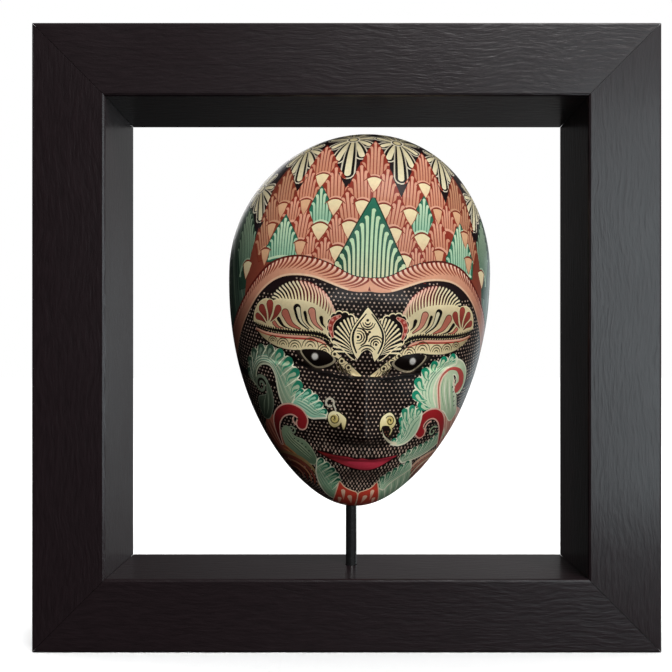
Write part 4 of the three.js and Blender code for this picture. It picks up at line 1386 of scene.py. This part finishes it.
def stained_hollow_wood():
    """Carved wood stained dark brown and left dull: grain and gouge marks show, with little shine."""
    material, tree, shader, place = new_material("stained_wood_of_the_hollow")
    stretch = node(tree, "ShaderNodeMapping", Vector=place, Scale=(1.0, 1.0, 0.08))
    grain = node(tree, "ShaderNodeTexNoise", Vector=stretch.outputs[0], Scale=1 / (1.4 * MM), Detail=5.0,
                 Roughness=0.65)
    broad = node(tree, "ShaderNodeTexNoise", Vector=place, Scale=1 / (25 * MM), Detail=3.0)
    stain = node(tree, "ShaderNodeMix", {"data_type": "RGBA"}, Factor=grain.outputs["Fac"],
                 i6=(*linear("#4c3225"), 1), i7=(*linear("#85604a"), 1))
    tone = node(tree, "ShaderNodeMapRange", Value=broad.outputs["Fac"], To_Min=0.6, To_Max=1.2)
    shaded = node(tree, "ShaderNodeVectorMath", {"operation": "SCALE"}, i0=stain.outputs[2], Scale=tone.outputs[0])
    bump = node(tree, "ShaderNodeBump", Height=grain.outputs["Fac"], Strength=0.4, Distance=0.15 * MM)
    wire(tree, shader, Base_Color=shaded.outputs[0], Roughness=0.62, Normal=bump.outputs[0])
    return material


def lacquered_black_wood(name, squeeze, settings):
    """Open-grained wood stained nearly black under clear lacquer: grey gloss that breaks on the wavy grain."""
    material, tree, shader, place = new_material(name)
    bend = node(tree, "ShaderNodeTexNoise", Vector=place, Scale=1 / (38 * MM), Detail=1.5)
    sway = node(tree, "ShaderNodeVectorMath", {"operation": "MULTIPLY_ADD"},
                i0=bend.outputs["Color"], i1=(9 * MM,) * 3, i2=place)
    stretch = node(tree, "ShaderNodeMapping", Vector=sway.outputs[0], Scale=squeeze)
    grain = node(tree, "ShaderNodeTexNoise", Vector=stretch.outputs[0], Scale=1 / (1.6 * MM), Detail=5.0,
                 Roughness=0.55)
    broad = node(tree, "ShaderNodeTexNoise", Vector=place, Scale=1 / (60 * MM), Detail=2.0)
    stain = node(tree, "ShaderNodeMix", {"data_type": "RGBA"}, Factor=grain.outputs["Fac"],
                 i6=(*settings.stain, 1), i7=(*settings.stain_light, 1))
    rough = node(tree, "ShaderNodeMapRange", Value=broad.outputs["Fac"], To_Min=0.26, To_Max=0.42)
    bump = node(tree, "ShaderNodeBump", Height=grain.outputs["Fac"], Strength=0.9, Distance=0.3 * MM)
    wire(tree, shader, Base_Color=stain.outputs[2], Roughness=rough.outputs[0], Normal=bump.outputs[0], IOR=1.5,
         Coat_Weight=0.35, Coat_Roughness=0.18)
    return material


def black_enamel():
    """Gloss black enamel on a steel rod: one clear upright highlight, hardly dulled by the brush."""
    material, tree, shader, place = new_material("gloss_black_enamel")
    brush = node(tree, "ShaderNodeTexNoise", Vector=place, Scale=1 / (2.5 * MM), Detail=3.0)
    tint = node(tree, "ShaderNodeMix", {"data_type": "RGBA"}, Factor=brush.outputs["Fac"],
                i6=(*linear("#131313"), 1), i7=(*linear("#262627"), 1))
    rough = node(tree, "ShaderNodeMapRange", Value=brush.outputs["Fac"], To_Min=0.14, To_Max=0.24)
    bump = node(tree, "ShaderNodeBump", Height=brush.outputs["Fac"], Strength=0.08, Distance=0.05 * MM)
    wire(tree, shader, Base_Color=tint.outputs[2], Roughness=rough.outputs[0], Normal=bump.outputs[0], IOR=1.5)
    return material


# Settings that a user would change

class TopengMaskSettings(bpy.types.PropertyGroup):
    dot_pitch: FloatProperty(
        name="Dot pitch", description="Distance between the small dots of the ground", default=0.00212, unit="LENGTH")
    dot_radius: FloatProperty(
        name="Dot radius", description="Radius of the small dots of the ground", default=0.00047, unit="LENGTH")
    gouge_width: FloatProperty(
        name="Gouge width", description="Width of a gouge mark in the hollow", default=0.0075, unit="LENGTH")
    gouge_length: FloatProperty(
        name="Gouge length", description="Length of a gouge mark in the hollow", default=0.017, unit="LENGTH")


class TopengFrameSettings(bpy.types.PropertyGroup):
    stain: FloatVectorProperty(
        name="Stain", description="The wood's stain in the pores", subtype="COLOR", default=linear("#1d1316"))
    stain_light: FloatVectorProperty(
        name="Light stain", description="The stain between the pores", subtype="COLOR", default=linear("#35272b"))


class TopengStageSettings(bpy.types.PropertyGroup):
    distance: FloatProperty(
        name="Camera distance", description="From the camera to the frame's middle", default=0.39, unit="LENGTH")
    height: FloatProperty(name="Camera height", description="Above the floor", default=0.1367, unit="LENGTH")
    focal: FloatProperty(name="Focal length", description="In image widths", default=768 / 672)
    key: FloatProperty(name="Key light", description="Power of the soft key light", default=13.0, unit="POWER")
    fill: FloatProperty(name="Fill", description="Strength of the room's own light", default=0.36)
    wash: FloatProperty(name="Floor light", description="Power of the light over the floor", default=7600.0,
                        unit="POWER")
    face: FloatProperty(name="Face light", description="Power of the soft light on the mask alone", default=7.0,
                        unit="POWER")


# Operators

FLOOR_REACH = 8.0        # metres to each side
CAMERA_SHIFT = (-0.0159, 0.0439)
MIDDLE = (0, 0, 0.17)    # what the lights look at
# Name, place, size, share of the key light's power, tint
LIGHTS = (
    ("key", (0.5, -0.95, 1.45), (0.7, 0.5), 1.0, "#ffffff"),
    ("right_sheen", (0.66, -1.15, 0.24), (0.5, 0.85), 0.27, "#eafaff"),
    ("crown_left", (-0.75, 0.1, 0.75), (0.35, 0.5), 0.14, "#ffffff"),
    ("back_right", (0.7, 0.75, 0.12), (0.5, 0.5), 0.14, "#eafaff"),
)


def dress(name, material):
    """Gives a node of the frame its one material."""
    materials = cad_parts[name].data.materials
    materials.clear()
    materials.append(material)


def add_object(name, data, place=(0, 0, 0)):
    """A new object in the scene."""
    made = bpy.data.objects.new(name, data)
    made.location = place
    bpy.context.scene.collection.objects.link(made)
    return made


def area_light(name, place, size, power, tint="#ffffff", target=MIDDLE):
    """A soft light that the camera doesn't see."""
    light = bpy.data.lights.new(name, "AREA")
    light.shape = "RECTANGLE"
    light.size, light.size_y = size
    light.energy = power
    light.color = linear(tint)
    made = add_object(name, light, place)
    made.rotation_mode = "QUATERNION"
    made.rotation_quaternion = (Vector(target) - Vector(place)).to_track_quat("-Z", "Y")
    made.visible_camera = False
    return made


def dim_room(strength):
    """The world: a white backdrop for the camera, and for the rest a room that is dimmest low at the back left."""
    world = bpy.data.worlds.new("studio")
    world.use_nodes = True
    tree = world.node_tree
    tree.nodes.clear()
    parts = node(tree, "ShaderNodeSeparateXYZ", i0=node(tree, "ShaderNodeTexCoord").outputs["Generated"])
    across = node(tree, "ShaderNodeMapRange", Value=parts.outputs[0], From_Min=-0.4, From_Max=0.7, To_Min=0.035,
                  To_Max=1.0)
    upward = node(tree, "ShaderNodeMapRange", Value=parts.outputs[2], From_Min=-0.75, From_Max=0.4, To_Min=0.12,
                  To_Max=1.0)
    room = node(tree, "ShaderNodeMath", {"operation": "MULTIPLY"}, i0=across.outputs[0], i1=upward.outputs[0])
    power = node(tree, "ShaderNodeMath", {"operation": "MULTIPLY"}, i0=room.outputs[0], i1=strength)
    dim = node(tree, "ShaderNodeBackground", Color=(1, 1, 1, 1), Strength=power.outputs[0])
    white = node(tree, "ShaderNodeBackground", Color=(1, 1, 1, 1), Strength=1.0)
    seen = node(tree, "ShaderNodeLightPath").outputs["Is Camera Ray"]
    mixed = node(tree, "ShaderNodeMixShader", i0=seen, i1=dim.outputs[0], i2=white.outputs[0])
    node(tree, "ShaderNodeOutputWorld", i0=mixed.outputs[0])
    return world


class TOPENG_OT_mask(bpy.types.Operator):
    """Builds the painted, hollow mask in place of its plain solid"""
    bl_idname = "topeng.mask"
    bl_label = "Painted mask"

    def execute(self, context):
        settings = context.scene.topeng_mask
        plain, front_normals = mask_mesh(settings)
        piece = add_object("mask_painted", plain)
        gouged = piece.modifiers.new("gouge_marks", "NODES")
        gouged.node_group, inputs = gouge_marks()
        gouged[inputs["Gouge width"]] = settings.gouge_width
        gouged[inputs["Gouge length"]] = settings.gouge_length
        gouged[inputs["Paint"]] = batik_paint_on_wood()
        gouged[inputs["Wood"]] = stained_hollow_wood()
        depsgraph = context.evaluated_depsgraph_get()
        mesh = bpy.data.meshes.new_from_object(
            piece.evaluated_get(depsgraph), preserve_all_data_layers=True, depsgraph=depsgraph)
        piece.modifiers.clear()
        piece.data = mesh
        normals = np.array([n.vector[:] for n in mesh.vertex_normals])
        normals[:len(front_normals)] = front_normals
        mesh.normals_split_custom_set_from_vertices(normals.tolist())
        if "lit_mask" in bpy.data.collections:
            bpy.data.collections["lit_mask"].objects.link(piece)
        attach(piece, "root")
        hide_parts("mask")
        return {"FINISHED"}


class TOPENG_OT_frame(bpy.types.Operator):
    """Gives the four rails their black lacquered wood, with the grain along each rail"""
    bl_idname = "topeng.frame"
    bl_label = "Frame finish"

    def execute(self, context):
        settings = context.scene.topeng_frame
        for way, squeeze, rails in (("level", (0.16, 1.0, 1.0), ("rail_top", "rail_bottom")),
                                    ("upright", (1.0, 1.0, 0.16), ("rail_left", "rail_right"))):
            wood = lacquered_black_wood("lacquered_black_wood_" + way, squeeze, settings)
            for rail in rails:
                dress(rail, wood)
        return {"FINISHED"}


class TOPENG_OT_rod(bpy.types.Operator):
    """Gives the rod its gloss black enamel"""
    bl_idname = "topeng.rod"
    bl_label = "Rod finish"

    def execute(self, context):
        dress("rod", black_enamel())
        return {"FINISHED"}


class TOPENG_OT_stage(bpy.types.Operator):
    """Sets a pale floor, soft studio light and the camera"""
    bl_idname = "topeng.stage"
    bl_label = "Stage"

    def execute(self, context):
        settings = context.scene.topeng_stage
        scene = context.scene
        data = bpy.data.cameras.new("camera")
        data.sensor_width = 36.0
        data.lens = data.sensor_width * settings.focal
        data.shift_x, data.shift_y = CAMERA_SHIFT
        scene.camera = add_object("camera", data, (0, -settings.distance, settings.height))
        scene.camera.rotation_euler = (math.pi / 2, 0, 0)

        mesh = bpy.data.meshes.new("floor")
        corners = [(x * FLOOR_REACH, y * FLOOR_REACH, 0) for x, y in ((-1, -1), (1, -1), (1, 1), (-1, 1))]
        mesh.from_pydata(corners, [], [(0, 1, 2, 3)])
        floor = add_object("floor", mesh)
        material, tree, shader, _ = new_material("pale_floor")
        wire(tree, shader, Base_Color=(0.86, 0.86, 0.86, 1), Roughness=0.9)
        mesh.materials.append(material)
        floor.visible_glossy = floor.visible_diffuse = False
        scene.world = dim_room(settings.fill)
        scene.view_settings.view_transform = "Standard"

        for name, place, size, share, tint in LIGHTS:
            area_light(name, place, size, share * settings.key, tint)
        face = area_light("face_light", (0.3, -1.35, 0.55), (0.5, 0.5), settings.face)
        behind = area_light("back_light", (-0.5, 1.3, 0.9), (0.8, 0.8), settings.face)
        wash = area_light("floor_wash", (0, 0, 4), (44, 44), settings.wash, target=(0, 0, 0))
        # these light only the floor, or only the mask and its rod
        on_mask = [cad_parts["mask"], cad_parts["rod"]]
        for name, lights, receivers in (("lit_floor", [wash], [floor]), ("lit_mask", [face, behind], on_mask)):
            lit = bpy.data.collections.new(name)
            for receiver in receivers:
                lit.objects.link(receiver)
            for light in lights:
                light.light_linking.receiver_collection = lit
        return {"FINISHED"}


class TOPENG_PT_panel(bpy.types.Panel):
    """The mask's settings and steps"""
    bl_label = "Topeng"
    bl_idname = "TOPENG_PT_panel"
    bl_space_type = "VIEW_3D"
    bl_region_type = "UI"
    bl_category = "Topeng"

    def draw(self, context):
        for settings in (context.scene.topeng_mask, context.scene.topeng_frame, context.scene.topeng_stage):
            box = self.layout.box()
            for name in settings.__annotations__:
                box.prop(settings, name)
        for step in STEPS:
            self.layout.operator(step.bl_idname)


SETTINGS = (TopengMaskSettings, TopengFrameSettings, TopengStageSettings)
STEPS = (TOPENG_OT_stage, TOPENG_OT_frame, TOPENG_OT_rod, TOPENG_OT_mask)


def register():
    for made in (*SETTINGS, *STEPS, TOPENG_PT_panel):
        bpy.utils.register_class(made)
    bpy.types.Scene.topeng_mask = PointerProperty(type=TopengMaskSettings)
    bpy.types.Scene.topeng_frame = PointerProperty(type=TopengFrameSettings)
    bpy.types.Scene.topeng_stage = PointerProperty(type=TopengStageSettings)


def unregister():
    del bpy.types.Scene.topeng_mask, bpy.types.Scene.topeng_frame, bpy.types.Scene.topeng_stage
    for made in reversed((*SETTINGS, *STEPS, TOPENG_PT_panel)):
        bpy.utils.unregister_class(made)


def main():
    register()
    for step in (bpy.ops.topeng.stage, bpy.ops.topeng.frame, bpy.ops.topeng.rod, bpy.ops.topeng.mask):
        step()


if __name__ == "__main__":
    main()
